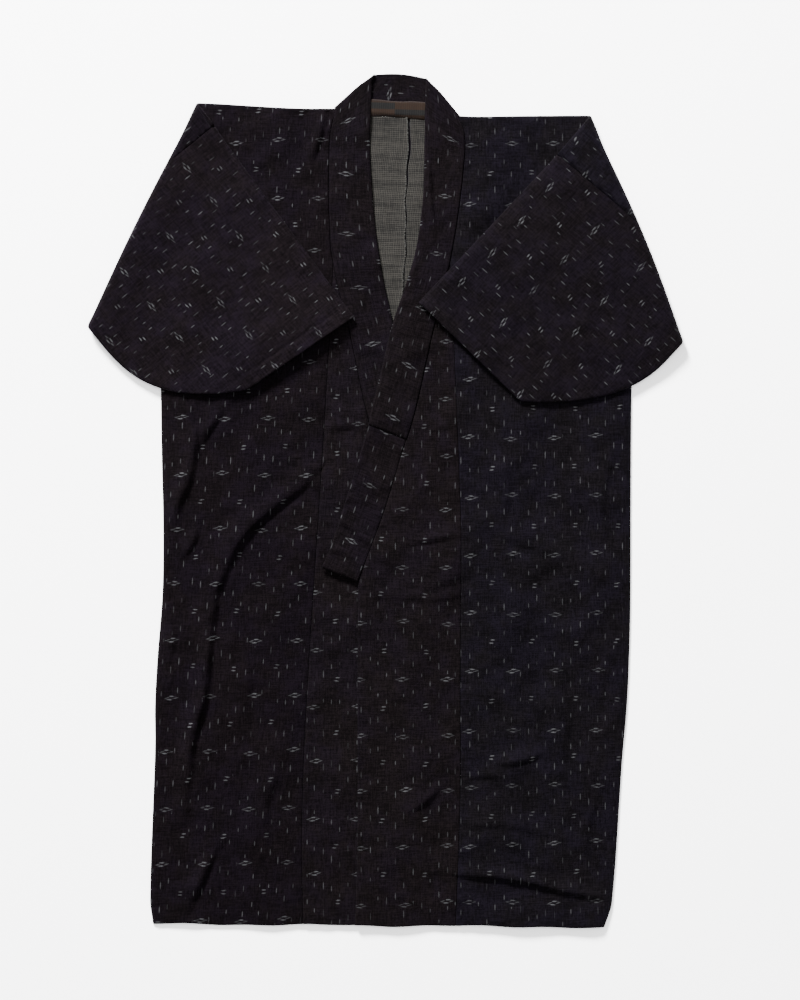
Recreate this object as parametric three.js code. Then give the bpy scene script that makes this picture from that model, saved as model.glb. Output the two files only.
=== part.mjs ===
// A noragi: a long, lined cotton work robe, laid flat on its back with its right front over its
// left front and both sleeves folded in over the fronts. Millimetres, +Z up, +Y from hem to neck,
// +X to the viewer's right. While it is made, x = 0 is the centre back seam and y = 0 the shoulder
// line. "down" is a distance below the shoulder line, and "out" a distance from the centre back
// seam towards the side of the piece's own half.
import * as THREE from "three";

// Cloth and seams
const WALL = 2;
const SEAM_GAP = 0.3;
const LINING = 1;
const COLLAR_WALL = 2.2;
const OVER_COLLAR_WALL = 1;
const COLLAR_STACK = COLLAR_WALL + SEAM_GAP + OVER_COLLAR_WALL;
const TUBE_STACK = 2 * WALL + SEAM_GAP;

// The robe as a whole
const LENGTH = 1083;
const HEM_TILT = 0.027;
const TIP_DOWN = 200;
const COLLAR_END_DOWN = 624;
const OVER_COLLAR_DOWN = 436;
const BAND_SEAM = { left: { x: -93, y: 5 }, right: { x: 70, y: 0 } };
const BAND_EDGE = { left: { x: -47, y: 49.5 }, right: { x: 28, y: 42 }, crown: 2 };
const NECK_POINT_DOWN = 8;
const STRIP_TOP = 14;
const STRIP_BOTTOM = -5;
const LINING_SEAM_X = 4;
const LINING_DOWN = 330;

// The sleeves' fold: its angle to the side of the robe, and the height of its axis
const FOLD_ANGLE = THREE.MathUtils.degToRad(24.5);
const FOLD_HEIGHT = 6.5;
const FOLD_LENGTH = 13.8;
const FOLD_STEPS = 5;

// How far apart the rows and columns of the walls lie
const ROW_STEP = 32;
const BACK_ROW_STEP = 128;
const FRONT_COLUMNS = 9;
const BACK_COLUMNS = 3;
const SLEEVE_STEP = 27;
const SLEEVE_COLUMNS = 10;
const ROLL_STEPS = 4;

// The two halves, seen by the viewer. "side" is the armhole and side seam, "seam" the edge of the
// front body panel against the collar and the overlap panel, "edge" that panel's free edge.
const LEFT = {
  name: "left",
  hand: -1,
  foldTop: { out: 278, down: 0 },
  sleeve: { depth: 299, cuffTop: { out: 630, down: 15.5 }, cuffLow: { out: 615, down: 188 }, lift: 5 },
  sleeveCurve: { length: 172, power: 2.7 },
  side: [
    { down: 300, out: 316 },
    { down: 383, out: 312 },
    { down: 500, out: 303 },
    { down: 650, out: 302 },
    { down: 850, out: 304 },
    { down: 1050, out: 306 },
    { down: LENGTH, out: 301 },
  ],
  okumiSeam: [
    { down: TIP_DOWN, out: 90 },
    { down: 312, out: 92 },
    { down: 466, out: 96 },
    { down: 786, out: 106 },
    { down: 947, out: 107 },
    { down: LENGTH, out: 101 },
  ],
  okumiEdge: [
    { down: COLLAR_END_DOWN, out: -27 },
    { down: 784, out: -30 },
    { down: LENGTH, out: -35 },
  ],
  collarSeam: [
    { down: -4, out: 93 },
    { down: 40, out: 100 },
    { down: 172, out: 95 },
    { down: 230, out: 84 },
    { down: 291, out: 66 },
    { down: 354, out: 51 },
    { down: 401, out: 39 },
    { down: COLLAR_END_DOWN, out: -27 },
  ],
  collarEdge: [
    { down: 0, out: 46.5 },
    { down: 39, out: 46.5 },
    { down: 118, out: 40 },
    { down: 198, out: 28 },
    { down: 280, out: 8 },
    { down: 309, out: 1 },
    { down: 403, out: -20 },
    { down: 581, out: -66 },
    { down: COLLAR_END_DOWN, out: -82 },
  ],
};
const RIGHT = {
  name: "right",
  hand: 1,
  foldTop: { out: 245, down: -1.5 },
  sleeve: { depth: 293, cuffTop: { out: 582, down: -1 }, cuffLow: { out: 586.4, down: 188 }, lift: 2 },
  sleeveCurve: { length: 170, power: 2 },
  side: [
    { down: 300, out: 312 },
    { down: 383, out: 311 },
    { down: 500, out: 313 },
    { down: 650, out: 318 },
    { down: 850, out: 315 },
    { down: 1050, out: 309 },
    { down: LENGTH, out: 300 },
  ],
  okumiSeam: [
    { down: TIP_DOWN, out: 65 },
    { down: 309, out: 74 },
    { down: 482, out: 87 },
    { down: 564, out: 92 },
    { down: 779, out: 98 },
    { down: 888, out: 102 },
    { down: LENGTH, out: 102 },
  ],
  okumiEdge: [
    { down: COLLAR_END_DOWN, out: -43 },
    { down: 784, out: -38.5 },
    { down: 968, out: -32.5 },
    { down: LENGTH, out: -32 },
  ],
  collarSeam: [
    { down: 0, out: 71 },
    { down: 22, out: 78.5 },
    { down: 54, out: 79.5 },
    { down: 137, out: 73 },
    { down: 206, out: 63 },
    { down: 294, out: 44.5 },
    { down: 401, out: 24 },
    { down: 462, out: 7 },
    { down: 534, out: -12.5 },
    { down: COLLAR_END_DOWN, out: -43 },
  ],
  collarEdge: [
    { down: 0, out: 31 },
    { down: 50, out: 28 },
    { down: 116, out: 27 },
    { down: 183, out: 19 },
    { down: 237, out: 5 },
    { down: 280, out: -8 },
    { down: 356, out: -24 },
    { down: 403, out: -34 },
    { down: 422, out: -37 },
    { down: 581, out: -81 },
    { down: COLLAR_END_DOWN, out: -99 },
  ],
};

// Folds that stand up in the laid cloth: each is a bowed ridge from one end to the other.
const RIDGES = [
  { half: "left", x0: -108, down0: 410, xMid: -128, downMid: 560, x1: -222, down1: 640, width: 20, rise: 5 },
  { half: "left", x0: -216, down0: 625, xMid: -236, downMid: 760, x1: -258, down1: 935, width: 19, rise: 4.5 },
  { half: "left", x0: -213, down0: 985, xMid: -228, downMid: 1030, x1: -250, down1: 1062, width: 17, rise: 3 },
  { half: "left", x0: -262, down0: 405, xMid: -246, downMid: 470, x1: -270, down1: 575, width: 15, rise: 3 },
  { half: "left", x0: -104, down0: 20, xMid: -112, downMid: 60, x1: -122, down1: 100, width: 16, rise: 2 },
  { half: "right", x0: 150, down0: 868, xMid: 185, downMid: 862, x1: 214, down1: 848, width: 16, rise: 2 },
  { half: "right", x0: 84, down0: 1010, xMid: 190, downMid: 1010, x1: 292, down1: 1040, width: 17, rise: 3 },
  { half: "right", x0: 120, down0: 560, xMid: 210, downMid: 590, x1: 285, down1: 700, width: 26, rise: 2 },
];
const RIDGE_SAMPLES = 14;
const RIDGE_END = 0.35;

const INDIGO = new THREE.MeshStandardMaterial({ color: 0x2a2730, roughness: 0.9, metalness: 0 });
const INDIGO_DARK = new THREE.MeshStandardMaterial({ color: 0x25222a, roughness: 0.9, metalness: 0 });
const CHECK_LINING = new THREE.MeshStandardMaterial({ color: 0x6b675c, roughness: 0.92, metalness: 0 });
const BROWN_STRIPE = new THREE.MeshStandardMaterial({ color: 0x5c4632, roughness: 0.92, metalness: 0 });

const { clamp, lerp, smoothstep } = THREE.MathUtils;

// The value of a table's "out" column at one distance down, on a smooth line through its rows.
function outAt(table, down) {
  const last = table.length - 1;
  const i = clamp(table.findIndex((row) => row.down > down) - 1, 0, last - 1);
  const k = down >= table[last].down ? last - 1 : i;
  const slope = (a, b) => (table[b].out - table[a].out) / (table[b].down - table[a].down);
  const span = table[k + 1].down - table[k].down;
  const startSlope = slope(Math.max(k - 1, 0), k + 1);
  const endSlope = slope(k, Math.min(k + 2, last));
  const t = clamp((down - table[k].down) / span, 0, 1);
  const rise = table[k + 1].out - table[k].out;
  const bend = (1 - t) * t * ((1 - t) * (startSlope * span - rise) + t * (rise - endSlope * span));
  return table[k].out + rise * t + bend;
}

// The hem lies at a slight tilt: rows below the collar's end are let down or drawn up to meet it.
const TILT_FROM = COLLAR_END_DOWN + 30;

function laidDown(x, down) {
  return down - HEM_TILT * x * smoothstep(down, TILT_FROM, LENGTH);
}

// Where the left half's hidden free edge lies, as x: its collar, and below that its overlap panel.
const EDGE_TURN = 18;

function hiddenEdgeX(down) {
  const below = smoothstep(down, COLLAR_END_DOWN - EDGE_TURN, COLLAR_END_DOWN + EDGE_TURN);
  return lerp(-outAt(LEFT.collarEdge, down), -outAt(LEFT.okumiEdge, down), below);
}

function ridgeRise(halfName, x, down) {
  let rise = 0;
  for (const ridge of RIDGES.filter((row) => row.half === halfName)) {
    const path = new THREE.QuadraticBezierCurve(
      new THREE.Vector2(ridge.x0, ridge.down0),
      new THREE.Vector2(ridge.xMid, ridge.downMid),
      new THREE.Vector2(ridge.x1, ridge.down1),
    );
    let best = 0;
    for (let i = 0; i <= RIDGE_SAMPLES; i += 1) {
      const t = i / RIDGE_SAMPLES;
      const away = path.getPoint(t).distanceTo(new THREE.Vector2(x, down)) / ridge.width;
      best = Math.max(best, Math.exp(-away * away) * lerp(RIDGE_END, 1, Math.sin(Math.PI * t)));
    }
    rise = Math.max(rise, best * ridge.rise);
  }
  return rise;
}

// The height of the underside of a front, with what lies under it: the back panel, the lining
// round the neck and, for the right half, the left half where the fronts cross.
const SIDE_LAY = WALL + SEAM_GAP;
const LINED_LAY = WALL + LINING + 2 * SEAM_GAP;
const FLAT_BY_SIDE = 75;
const LIFT_RUN = 45;
const LIFT_OVER_COLLAR = COLLAR_STACK + 2 * SEAM_GAP;
const LIFT_OVER_PANEL = WALL + 2 * SEAM_GAP;
const RISE_RUN = 80;
const HEM_RUN = 95;
const HEM_SINK = 0.7;
const CROSSING = { from: 215, to: 272 };
const PANEL_LIFT = { from: COLLAR_END_DOWN + 16, to: 720 };
const EDGE_CLEARANCE = 6;

function frontLow(half, x, down) {
  const inland = outAt(half.side, down) - FLAT_BY_SIDE - half.hand * x;
  const hemward = smoothstep(down, LENGTH - HEM_RUN, LENGTH);
  let low = lerp(SIDE_LAY, LINED_LAY, smoothstep(inland, 0, RISE_RUN) * (1 - HEM_SINK * hemward));
  low += ridgeRise(half.name, x, down);
  if (half === RIGHT) {
    const crossing = smoothstep(down, CROSSING.from, CROSSING.to);
    const lift = lerp(LIFT_OVER_COLLAR, LIFT_OVER_PANEL, smoothstep(down, PANEL_LIFT.from, PANEL_LIFT.to));
    const edge = hiddenEdgeX(down);
    low += crossing * lift * (1 - smoothstep(x, edge + EDGE_CLEARANCE, edge + LIFT_RUN));
  }
  return low;
}

// The height on which a folded sleeve lies: its own front panel, and the collar under its tip.
const SETTLE_RUN = 65;
const CUFF_LIFT_RUN = 110;
const CUFF_BOW = { from: 0.15, to: 0.85 };

function flapLow(half, x, down) {
  const seam = outAt(half.collarSeam, down);
  const overCollar = 1 - smoothstep(half.hand * x - seam, WALL, LIFT_RUN);
  const collarRise = (COLLAR_STACK - WALL) * overCollar;
  return frontLow(half, x, down) + WALL + 2 * SEAM_GAP + collarRise;
}

// Folds a point of the opened-out half over the sleeve's fold, and gives its place in the robe.
// "level" is its height in the opened-out half, where the back lies at 0.
function foldedPoint(half, out, down, level) {
  const cos = Math.cos(FOLD_ANGLE);
  const sin = Math.sin(FOLD_ANGLE);
  const axisOut = half.foldTop.out - FOLD_HEIGHT * cos;
  const axisDown = half.foldTop.down + FOLD_HEIGHT * sin;
  const beyond = (out - axisOut) * cos - (down - axisDown) * sin;
  if (beyond <= 0) {
    return new THREE.Vector3(half.hand * out, -down, level);
  }
  const turn = Math.PI * Math.min(beyond / FOLD_LENGTH, 1);
  const reach = (FOLD_HEIGHT - level) * Math.sin(turn) - Math.max(beyond - FOLD_LENGTH, 0);
  const shift = reach - beyond;
  const newOut = out + shift * cos;
  const newDown = down - shift * sin;
  const x = half.hand * newOut;
  if (beyond <= FOLD_LENGTH) {
    return new THREE.Vector3(x, -newDown, FOLD_HEIGHT - (FOLD_HEIGHT - level) * Math.cos(turn));
  }
  const { cuffTop, cuffLow, lift } = half.sleeve;
  const acrossCuff = clamp((down - cuffTop.down) / (cuffLow.down - cuffTop.down), 0, 1);
  const toCuff = lerp(cuffTop.out, cuffLow.out, acrossCuff) - out;
  const bowed = Math.sin(Math.PI * lerp(CUFF_BOW.from, CUFF_BOW.to, acrossCuff));
  const cuffLift = lift * (1 - smoothstep(toCuff, 0, CUFF_LIFT_RUN)) * bowed;
  const settled = smoothstep(beyond, FOLD_LENGTH, FOLD_LENGTH + SETTLE_RUN);
  const bendLow = 2 * FOLD_HEIGHT - TUBE_STACK;
  const low = lerp(bendLow, flapLow(half, x, newDown) + cuffLift, settled);
  return new THREE.Vector3(x, -newDown, low + TUBE_STACK - level);
}

// How far out the line lies that runs along the fold, some distance beyond the fold's axis.
function foldLineOut(half, down, beyond) {
  const cos = Math.cos(FOLD_ANGLE);
  const sin = Math.sin(FOLD_ANGLE);
  const axisDown = half.foldTop.down + FOLD_HEIGHT * sin;
  return half.foldTop.out - FOLD_HEIGHT * cos + (beyond + (down - axisDown) * sin) / cos;
}

function foldLineDown(half, out, beyond) {
  const cos = Math.cos(FOLD_ANGLE);
  const sin = Math.sin(FOLD_ANGLE);
  const axisDown = half.foldTop.down + FOLD_HEIGHT * sin;
  return axisDown + ((out - half.foldTop.out + FOLD_HEIGHT * cos) * cos - beyond) / sin;
}

// A cloth wall: vertices with an outer and an inner point, and triangles between them. Wherever
// the cloth ends, its two faces are joined by a rim.
class Cloth {
  constructor() {
    this.vertices = [];
    this.triangles = [];
    this.places = new Map();
  }

  vertex(outer, inner) {
    const key = [...outer.toArray(), ...inner.toArray()].map((v) => Math.round(v * 1000)).join();
    if (!this.places.has(key)) {
      this.places.set(key, this.vertices.length);
      this.vertices.push({ outer, inner });
    }
    return this.places.get(key);
  }

  triangle(a, b, c) {
    if (a !== b && b !== c && c !== a) {
      this.triangles.push([a, b, c]);
    }
  }

  // Joins two rows of vertices, as many in each; the outer face is on the left of the rows' run.
  strip(rowA, rowB) {
    for (let i = 1; i < rowA.length; i += 1) {
      this.triangle(rowA[i - 1], rowA[i], rowB[i]);
      this.triangle(rowA[i - 1], rowB[i], rowB[i - 1]);
    }
  }

  strips(rows) {
    for (let i = 1; i < rows.length; i += 1) {
      this.strip(rows[i - 1], rows[i]);
    }
  }

  rimEdges() {
    const edges = new Map();
    for (const [a, b, c] of this.triangles) {
      for (const [from, to] of [[a, b], [b, c], [c, a]]) {
        if (!edges.delete(`${to},${from}`)) {
          edges.set(`${from},${to}`, [from, to]);
        }
      }
    }
    return [...edges.values()];
  }

  geometry() {
    const count = this.vertices.length;
    const points = [...this.vertices.map((v) => v.outer), ...this.vertices.map((v) => v.inner)];
    const faces = [];
    for (const [a, b, c] of this.triangles) {
      faces.push(a, b, c, a + count, c + count, b + count);
    }
    // A rim's diagonals lean the same way on both sides of a seam, so that turned seams match.
    for (const [from, to] of this.rimEdges()) {
      if (points[from].y > points[to].y) {
        faces.push(to, from, to + count, from, from + count, to + count);
      } else {
        faces.push(to, from, from + count, to, from + count, to + count);
      }
    }
    const geometry = new THREE.BufferGeometry().setFromPoints(points);
    geometry.setIndex(faces);
    const shape = geometry.toNonIndexed();
    shape.computeVertexNormals();
    return shape;
  }
}

function piece(name, cloth, material) {
  const mesh = new THREE.Mesh(cloth.geometry(), material);
  mesh.name = name;
  return mesh;
}

// Rows that neighbouring pieces share, so that their seams match: multiples of one spacing.
function sharedRows(from, to, spacing) {
  const rows = [];
  for (let down = Math.ceil(from / spacing + 0.3) * spacing; down < to - spacing / 3; down += spacing) {
    rows.push(down);
  }
  return [...rows, to];
}

function steps(from, to, spacing) {
  const count = Math.max(1, Math.round(Math.abs(to - from) / spacing));
  return Array.from({ length: count + 1 }, (unused, i) => lerp(from, to, i / count));
}

// Distances beyond the fold's axis at which walls have a line of vertices.
function foldLines(farthest) {
  const bend = Array.from({ length: FOLD_STEPS + 1 }, (unused, i) => (FOLD_LENGTH * i) / FOLD_STEPS);
  return [...bend, ...steps(FOLD_LENGTH, farthest, SLEEVE_STEP).slice(1)];
}

function cornerBeyond(half, out, down) {
  return (out - foldLineOut(half, down, 0)) * Math.cos(FOLD_ANGLE);
}

// The edge of the front body panel: the collar's seam down to the overlap panel's tip, then the
// overlap panel's seam.
function frontSeamOut(half, down) {
  return down < TIP_DOWN ? outAt(half.collarSeam, down) : outAt(half.okumiSeam, down);
}

// One length of cloth, from the back hem over the shoulder to the front hem. Its outer corner lies
// beyond the sleeve's fold and turns over with the sleeve.
function bodyPanel(half) {
  const cloth = new Cloth();
  const armholeTop = outAt(half.side, 0);
  const lines = foldLines(cornerBeyond(half, armholeTop, 0));
  const crossings = lines.map((beyond) => Math.max(foldLineDown(half, armholeTop, beyond), 0)).reverse();
  const lastCrossing = crossings[crossings.length - 1];

  const columnsAt = (down) => {
    const side = outAt(half.side, down);
    const seamDown = Math.max(down, NECK_POINT_DOWN);
    const inner = frontSeamOut(half, seamDown) + (down < TIP_DOWN ? 2 * SEAM_GAP : SEAM_GAP);
    const axis = Math.min(foldLineOut(half, down, 0), side);
    const flat = Array.from({ length: FRONT_COLUMNS + 1 }, (unused, i) => lerp(inner, axis, i / FRONT_COLUMNS));
    const folded = lines.slice(1).map((beyond) => Math.min(foldLineOut(half, down, beyond), side));
    return [...flat, ...folded];
  };
  const frontVertex = (out, down) => {
    const place = laidDown(half.hand * out, down);
    const low = frontLow(half, half.hand * out, place);
    return cloth.vertex(foldedPoint(half, out, place, low + WALL), foldedPoint(half, out, place, low));
  };
  const backVertex = (out, down) => {
    const place = laidDown(half.hand * out, down);
    return cloth.vertex(foldedPoint(half, out, place, 0), foldedPoint(half, out, place, WALL));
  };
  // The shoulder: a half roll from the back's level to the front's.
  const rollVertex = (out, i) => {
    const top = frontLow(half, half.hand * out, 0) + WALL;
    const radius = top / 2;
    const angle = (Math.PI * i) / ROLL_STEPS;
    const at = (r) => foldedPoint(half, out, radius - r * Math.sin(angle), radius - r * Math.cos(angle));
    return cloth.vertex(at(radius), at(radius - WALL));
  };

  const front = [...crossings.slice(1), ...collarTurns(half), ...sharedRows(lastCrossing, LENGTH, ROW_STEP)];
  front.sort((a, b) => a - b);
  const back = [...crossings.slice(1), ...sharedRows(lastCrossing, LENGTH, BACK_ROW_STEP)];
  const centre = SEAM_GAP / 2;
  const toCentre = (columns) => {
    const inner = columns[0];
    const across = Array.from({ length: BACK_COLUMNS }, (unused, i) => lerp(centre, inner, i / BACK_COLUMNS));
    return [...across, ...columns];
  };

  const topColumns = columnsAt(0);
  const rows = [];
  for (const down of [...back].reverse()) {
    rows.push(toCentre(columnsAt(down)).map((out) => backVertex(out, down)));
  }
  const neckRow = toCentre(topColumns).map((out, i) => {
    return i < BACK_COLUMNS ? backVertex(out, SEAM_GAP - bandSeamY(half.hand * out)) : rollVertex(out, 0);
  });
  rows.push(neckRow);
  const shoulderRows = [neckRow.slice(BACK_COLUMNS)];
  for (let i = 1; i <= ROLL_STEPS; i += 1) {
    shoulderRows.push(topColumns.map((out) => rollVertex(out, i)));
  }
  for (const down of front) {
    shoulderRows.push(columnsAt(down).map((out) => frontVertex(out, down)));
  }
  for (const set of [rows, shoulderRows]) {
    cloth.strips(half.hand < 0 ? set : set.map((row) => [...row].reverse()));
  }
  return piece(`body_${half.name}`, cloth, half === LEFT ? INDIGO : INDIGO_DARK);
}

// A flat tube, open at the armhole and the cuff. Its rows run along the fold, from the armhole or
// the top edge to the bottom edge or the cuff, once on the back wall and once on the front wall.
const TURNED_EDGE = 1.6;
const EDGE_WALL = 1.9;
const EDGE_SEARCH = 400;
const EDGE_MARGIN = 30;
const EDGE_STEP = 2;
const EDGE_HALVINGS = 24;

function sleeve(half) {
  const cloth = new Cloth();
  const { depth, cuffTop, cuffLow } = half.sleeve;
  const armhole = outAt(half.side, 0) + SEAM_GAP;
  const curve = half.sleeveCurve;
  const topDown = (out) => (cuffTop.down * (out - armhole)) / (cuffTop.out - armhole);
  const bottomDown = (out) => {
    const t = clamp((out - cuffLow.out + curve.length) / curve.length, 0, 1);
    return depth - (depth - cuffLow.down) * t ** curve.power;
  };
  const cuffAt = (down) => lerp(cuffTop.out, cuffLow.out, (down - cuffTop.down) / (cuffLow.down - cuffTop.down));
  const holds = (out, down, inset) => {
    const sewn = down >= topDown(out) + inset && down <= bottomDown(out) - inset;
    return sewn && out >= armhole && out <= cuffAt(down);
  };
  // Where one line along the fold enters and leaves the sleeve, its sewn edges drawn in by an inset.
  const span = (beyond, inset) => {
    const held = [];
    for (let i = 0; i <= EDGE_SEARCH; i += 1) {
      const down = lerp(-EDGE_MARGIN, depth + EDGE_MARGIN, i / EDGE_SEARCH);
      if (holds(foldLineOut(half, down, beyond), down, inset)) {
        held.push(down);
      }
    }
    const refine = (inner, outer) => {
      let [near, far] = [inner, outer];
      for (let i = 0; i < EDGE_HALVINGS; i += 1) {
        const middle = (near + far) / 2;
        if (holds(foldLineOut(half, middle, beyond), middle, inset)) {
          near = middle;
        } else {
          far = middle;
        }
      }
      return near;
    };
    const [top, bottom] = [held[0], held[held.length - 1]];
    return [refine(top, top - EDGE_STEP), refine(bottom, bottom + EDGE_STEP)];
  };

  const first = cornerBeyond(half, armhole, depth);
  const armholeTop = cornerBeyond(half, armhole, 0);
  const cuffBottom = cornerBeyond(half, cuffLow.out, cuffLow.down);
  const last = cornerBeyond(half, cuffTop.out, cuffTop.down);
  const lines = [
    ...steps(first, 0, SLEEVE_STEP).slice(0, -1),
    ...foldLines(armholeTop),
    ...steps(armholeTop, cuffBottom, SLEEVE_STEP).slice(1),
    ...steps(cuffBottom, last, SLEEVE_STEP).slice(1),
  ];

  // The place of a point on one line, as a share of the way along it.
  const placeOn = (beyond, share, inset) => {
    if (beyond === first) {
      return [armhole, depth - inset];
    }
    if (beyond === last) {
      return [cuffTop.out, cuffTop.down + inset];
    }
    const [start, end] = span(beyond, inset);
    const down = lerp(start, end, share);
    return [foldLineOut(half, down, beyond), down];
  };
  const wallVertex = (beyond, share, outerLevel, innerLevel) => cloth.vertex(
    foldedPoint(half, ...placeOn(beyond, share, TURNED_EDGE), outerLevel),
    foldedPoint(half, ...placeOn(beyond, share, WALL), innerLevel),
  );
  const edgeVertex = (beyond, share) => cloth.vertex(
    foldedPoint(half, ...placeOn(beyond, share, 0), TUBE_STACK / 2),
    foldedPoint(half, ...placeOn(beyond, share, EDGE_WALL), TUBE_STACK / 2),
  );
  const wallRow = (beyond, outerLevel, innerLevel) => {
    const shares = Array.from({ length: SLEEVE_COLUMNS + 1 }, (unused, i) => i / SLEEVE_COLUMNS);
    return shares.map((share) => wallVertex(beyond, share, outerLevel, innerLevel));
  };
  const rows = lines.map((beyond) => {
    const front = wallRow(beyond, TUBE_STACK, WALL + SEAM_GAP);
    const back = wallRow(beyond, 0, WALL).reverse();
    const bottom = [front[SLEEVE_COLUMNS], edgeVertex(beyond, 1), back[0]];
    const top = [back[SLEEVE_COLUMNS], edgeVertex(beyond, 0), front[0]];
    return { beyond, front, back, bottom, top };
  });
  for (let i = 1; i < rows.length; i += 1) {
    const parts = ["front", "back"];
    if (rows[i].beyond <= cuffBottom) {
      parts.push("bottom");
    }
    if (rows[i - 1].beyond >= armholeTop) {
      parts.push("top");
    }
    for (const part of parts) {
      const pair = [rows[i - 1][part], rows[i][part]];
      cloth.strip(...(half.hand > 0 ? pair : pair.reverse()));
    }
  }
  return piece(`sleeve_${half.name}`, cloth, half === LEFT ? INDIGO : INDIGO_DARK);
}

// A wedge-topped strip between the front body panel's edge and the collar, and below the collar's
// end the front's free edge.
const OKUMI_COLUMNS = 6;
const OKUMI_TOP = TIP_DOWN + 4;

function okumi(half) {
  const cloth = new Cloth();
  const rows = [OKUMI_TOP, ...sharedRows(OKUMI_TOP, LENGTH, ROW_STEP)].map((down) => {
    const free = down > COLLAR_END_DOWN;
    const inner = free ? outAt(half.okumiEdge, down) : outAt(half.collarSeam, down) + SEAM_GAP;
    const outer = outAt(half.okumiSeam, down);
    return Array.from({ length: OKUMI_COLUMNS + 1 }, (unused, i) => {
      const x = half.hand * lerp(inner, outer, i / OKUMI_COLUMNS);
      const place = laidDown(x, down);
      const low = frontLow(half, x, place);
      return cloth.vertex(new THREE.Vector3(x, -place, low + WALL), new THREE.Vector3(x, -place, low));
    });
  });
  cloth.strips(half.hand > 0 ? rows.map((row) => [...row].reverse()) : rows);
  return piece(`okumi_${half.name}`, cloth, half === LEFT ? INDIGO : INDIGO_DARK);
}

// The collar's rows, each a line across the band from its sewn seam to its free edge: from the
// hidden end up the left front, over a slanting fold at the left of the neck, along the back neck,
// over a second fold and down the right front.
const COLLAR_COLUMNS = 3;
const COLLAR_SKEW = { run: 18, from: 150, to: 350 };
const COLLAR_TURN_DOWN = 64;
const BAND_RISE = { from: -10, to: 6 };
const BAND_ROWS = 5;
const TURN_ROWS = 3;
const BAND_FOLD_HEIGHT = COLLAR_STACK + SEAM_GAP / 2;

function bandSeamY(x) {
  const { left, right } = BAND_SEAM;
  return lerp(left.y, right.y, clamp((x - left.x) / (right.x - left.x), 0, 1)) - 2 * SEAM_GAP;
}

// Each row has a place for its seam and its edge, and a function that gives the point at a height
// above the band's inner face.
function frontCollarRow(half, seamDown, edgeDown) {
  const seam = new THREE.Vector2(half.hand * outAt(half.collarSeam, seamDown), -seamDown);
  const edge = new THREE.Vector2(half.hand * outAt(half.collarEdge, edgeDown), -edgeDown);
  return (share, rise) => {
    const at = seam.clone().lerp(edge, share);
    const onBand = smoothstep(at.y, BAND_RISE.from, BAND_RISE.to);
    const low = lerp(frontLow(half, at.x, -at.y), COLLAR_STACK + SEAM_GAP, onBand);
    return new THREE.Vector3(at.x, at.y, low + rise);
  };
}

function foldRows(half) {
  const seam = new THREE.Vector2(BAND_SEAM[half.name].x, BAND_SEAM[half.name].y);
  const edge = new THREE.Vector2(BAND_EDGE[half.name].x, BAND_EDGE[half.name].y);
  const away = new THREE.Vector2(seam.y - edge.y, edge.x - seam.x).normalize().multiplyScalar(-half.hand);
  return Array.from({ length: FOLD_STEPS + 1 }, (unused, i) => (share, rise) => {
    const turn = (Math.PI * i) / FOLD_STEPS;
    const radius = SEAM_GAP / 2 + rise;
    const at = seam.clone().lerp(edge, share).addScaledVector(away, radius * Math.sin(turn));
    return new THREE.Vector3(at.x, at.y, BAND_FOLD_HEIGHT + radius * Math.cos(turn));
  });
}

function bandRow(t) {
  const seam = new THREE.Vector2(BAND_SEAM.left.x, BAND_SEAM.left.y);
  const edge = new THREE.Vector2(BAND_EDGE.left.x, BAND_EDGE.left.y);
  seam.lerp(new THREE.Vector2(BAND_SEAM.right.x, BAND_SEAM.right.y), t);
  edge.lerp(new THREE.Vector2(BAND_EDGE.right.x, BAND_EDGE.right.y), t);
  edge.y += BAND_EDGE.crown * Math.sin(Math.PI * t);
  return (share, rise) => {
    const at = seam.clone().lerp(edge, share);
    return new THREE.Vector3(at.x, at.y, COLLAR_STACK - rise);
  };
}

// How far down the collar's seam meets the rows that turn towards the fold at the neck.
function collarTurns(half) {
  const seamTop = -BAND_SEAM[half.name].y;
  return Array.from({ length: TURN_ROWS - 1 }, (unused, i) => lerp(COLLAR_TURN_DOWN, seamTop, (i + 1) / TURN_ROWS));
}

// Rows on one front, from some distance down up to the fold at the neck.
function frontCollarRows(half, fromDown) {
  const { run, from, to } = COLLAR_SKEW;
  const skewed = (down) => frontCollarRow(half, down, down - run * smoothstep(down, from, to));
  const shared = sharedRows(COLLAR_TURN_DOWN - ROW_STEP, fromDown, ROW_STEP).map(skewed).reverse();
  const edgeTop = -BAND_EDGE[half.name].y;
  const turned = collarTurns(half).map((seamDown, i) => {
    return frontCollarRow(half, seamDown, lerp(COLLAR_TURN_DOWN, edgeTop, (i + 1) / TURN_ROWS));
  });
  return [...shared, ...turned];
}

function collarBand(name, fromDown, fromRise, wall, material) {
  const cloth = new Cloth();
  const band = Array.from({ length: BAND_ROWS - 1 }, (unused, i) => bandRow((i + 1) / BAND_ROWS));
  const rows = [
    ...frontCollarRows(LEFT, fromDown),
    ...foldRows(LEFT),
    ...band,
    ...foldRows(RIGHT).reverse(),
    ...frontCollarRows(RIGHT, fromDown).reverse(),
  ].map((place) => {
    const shares = Array.from({ length: COLLAR_COLUMNS + 1 }, (unused, i) => i / COLLAR_COLUMNS);
    return shares.map((share) => cloth.vertex(place(share, fromRise + wall), place(share, fromRise)));
  });
  cloth.strips(rows);
  return piece(name, cloth, material);
}

// The brown striped strip on the inside of the back neck, from the lining up onto the collar.
const STRIP_COLUMNS = 5;
const STRIP_CLEARANCE = 1.5;
const STRIP_STEP_RUN = 2.6;

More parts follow.
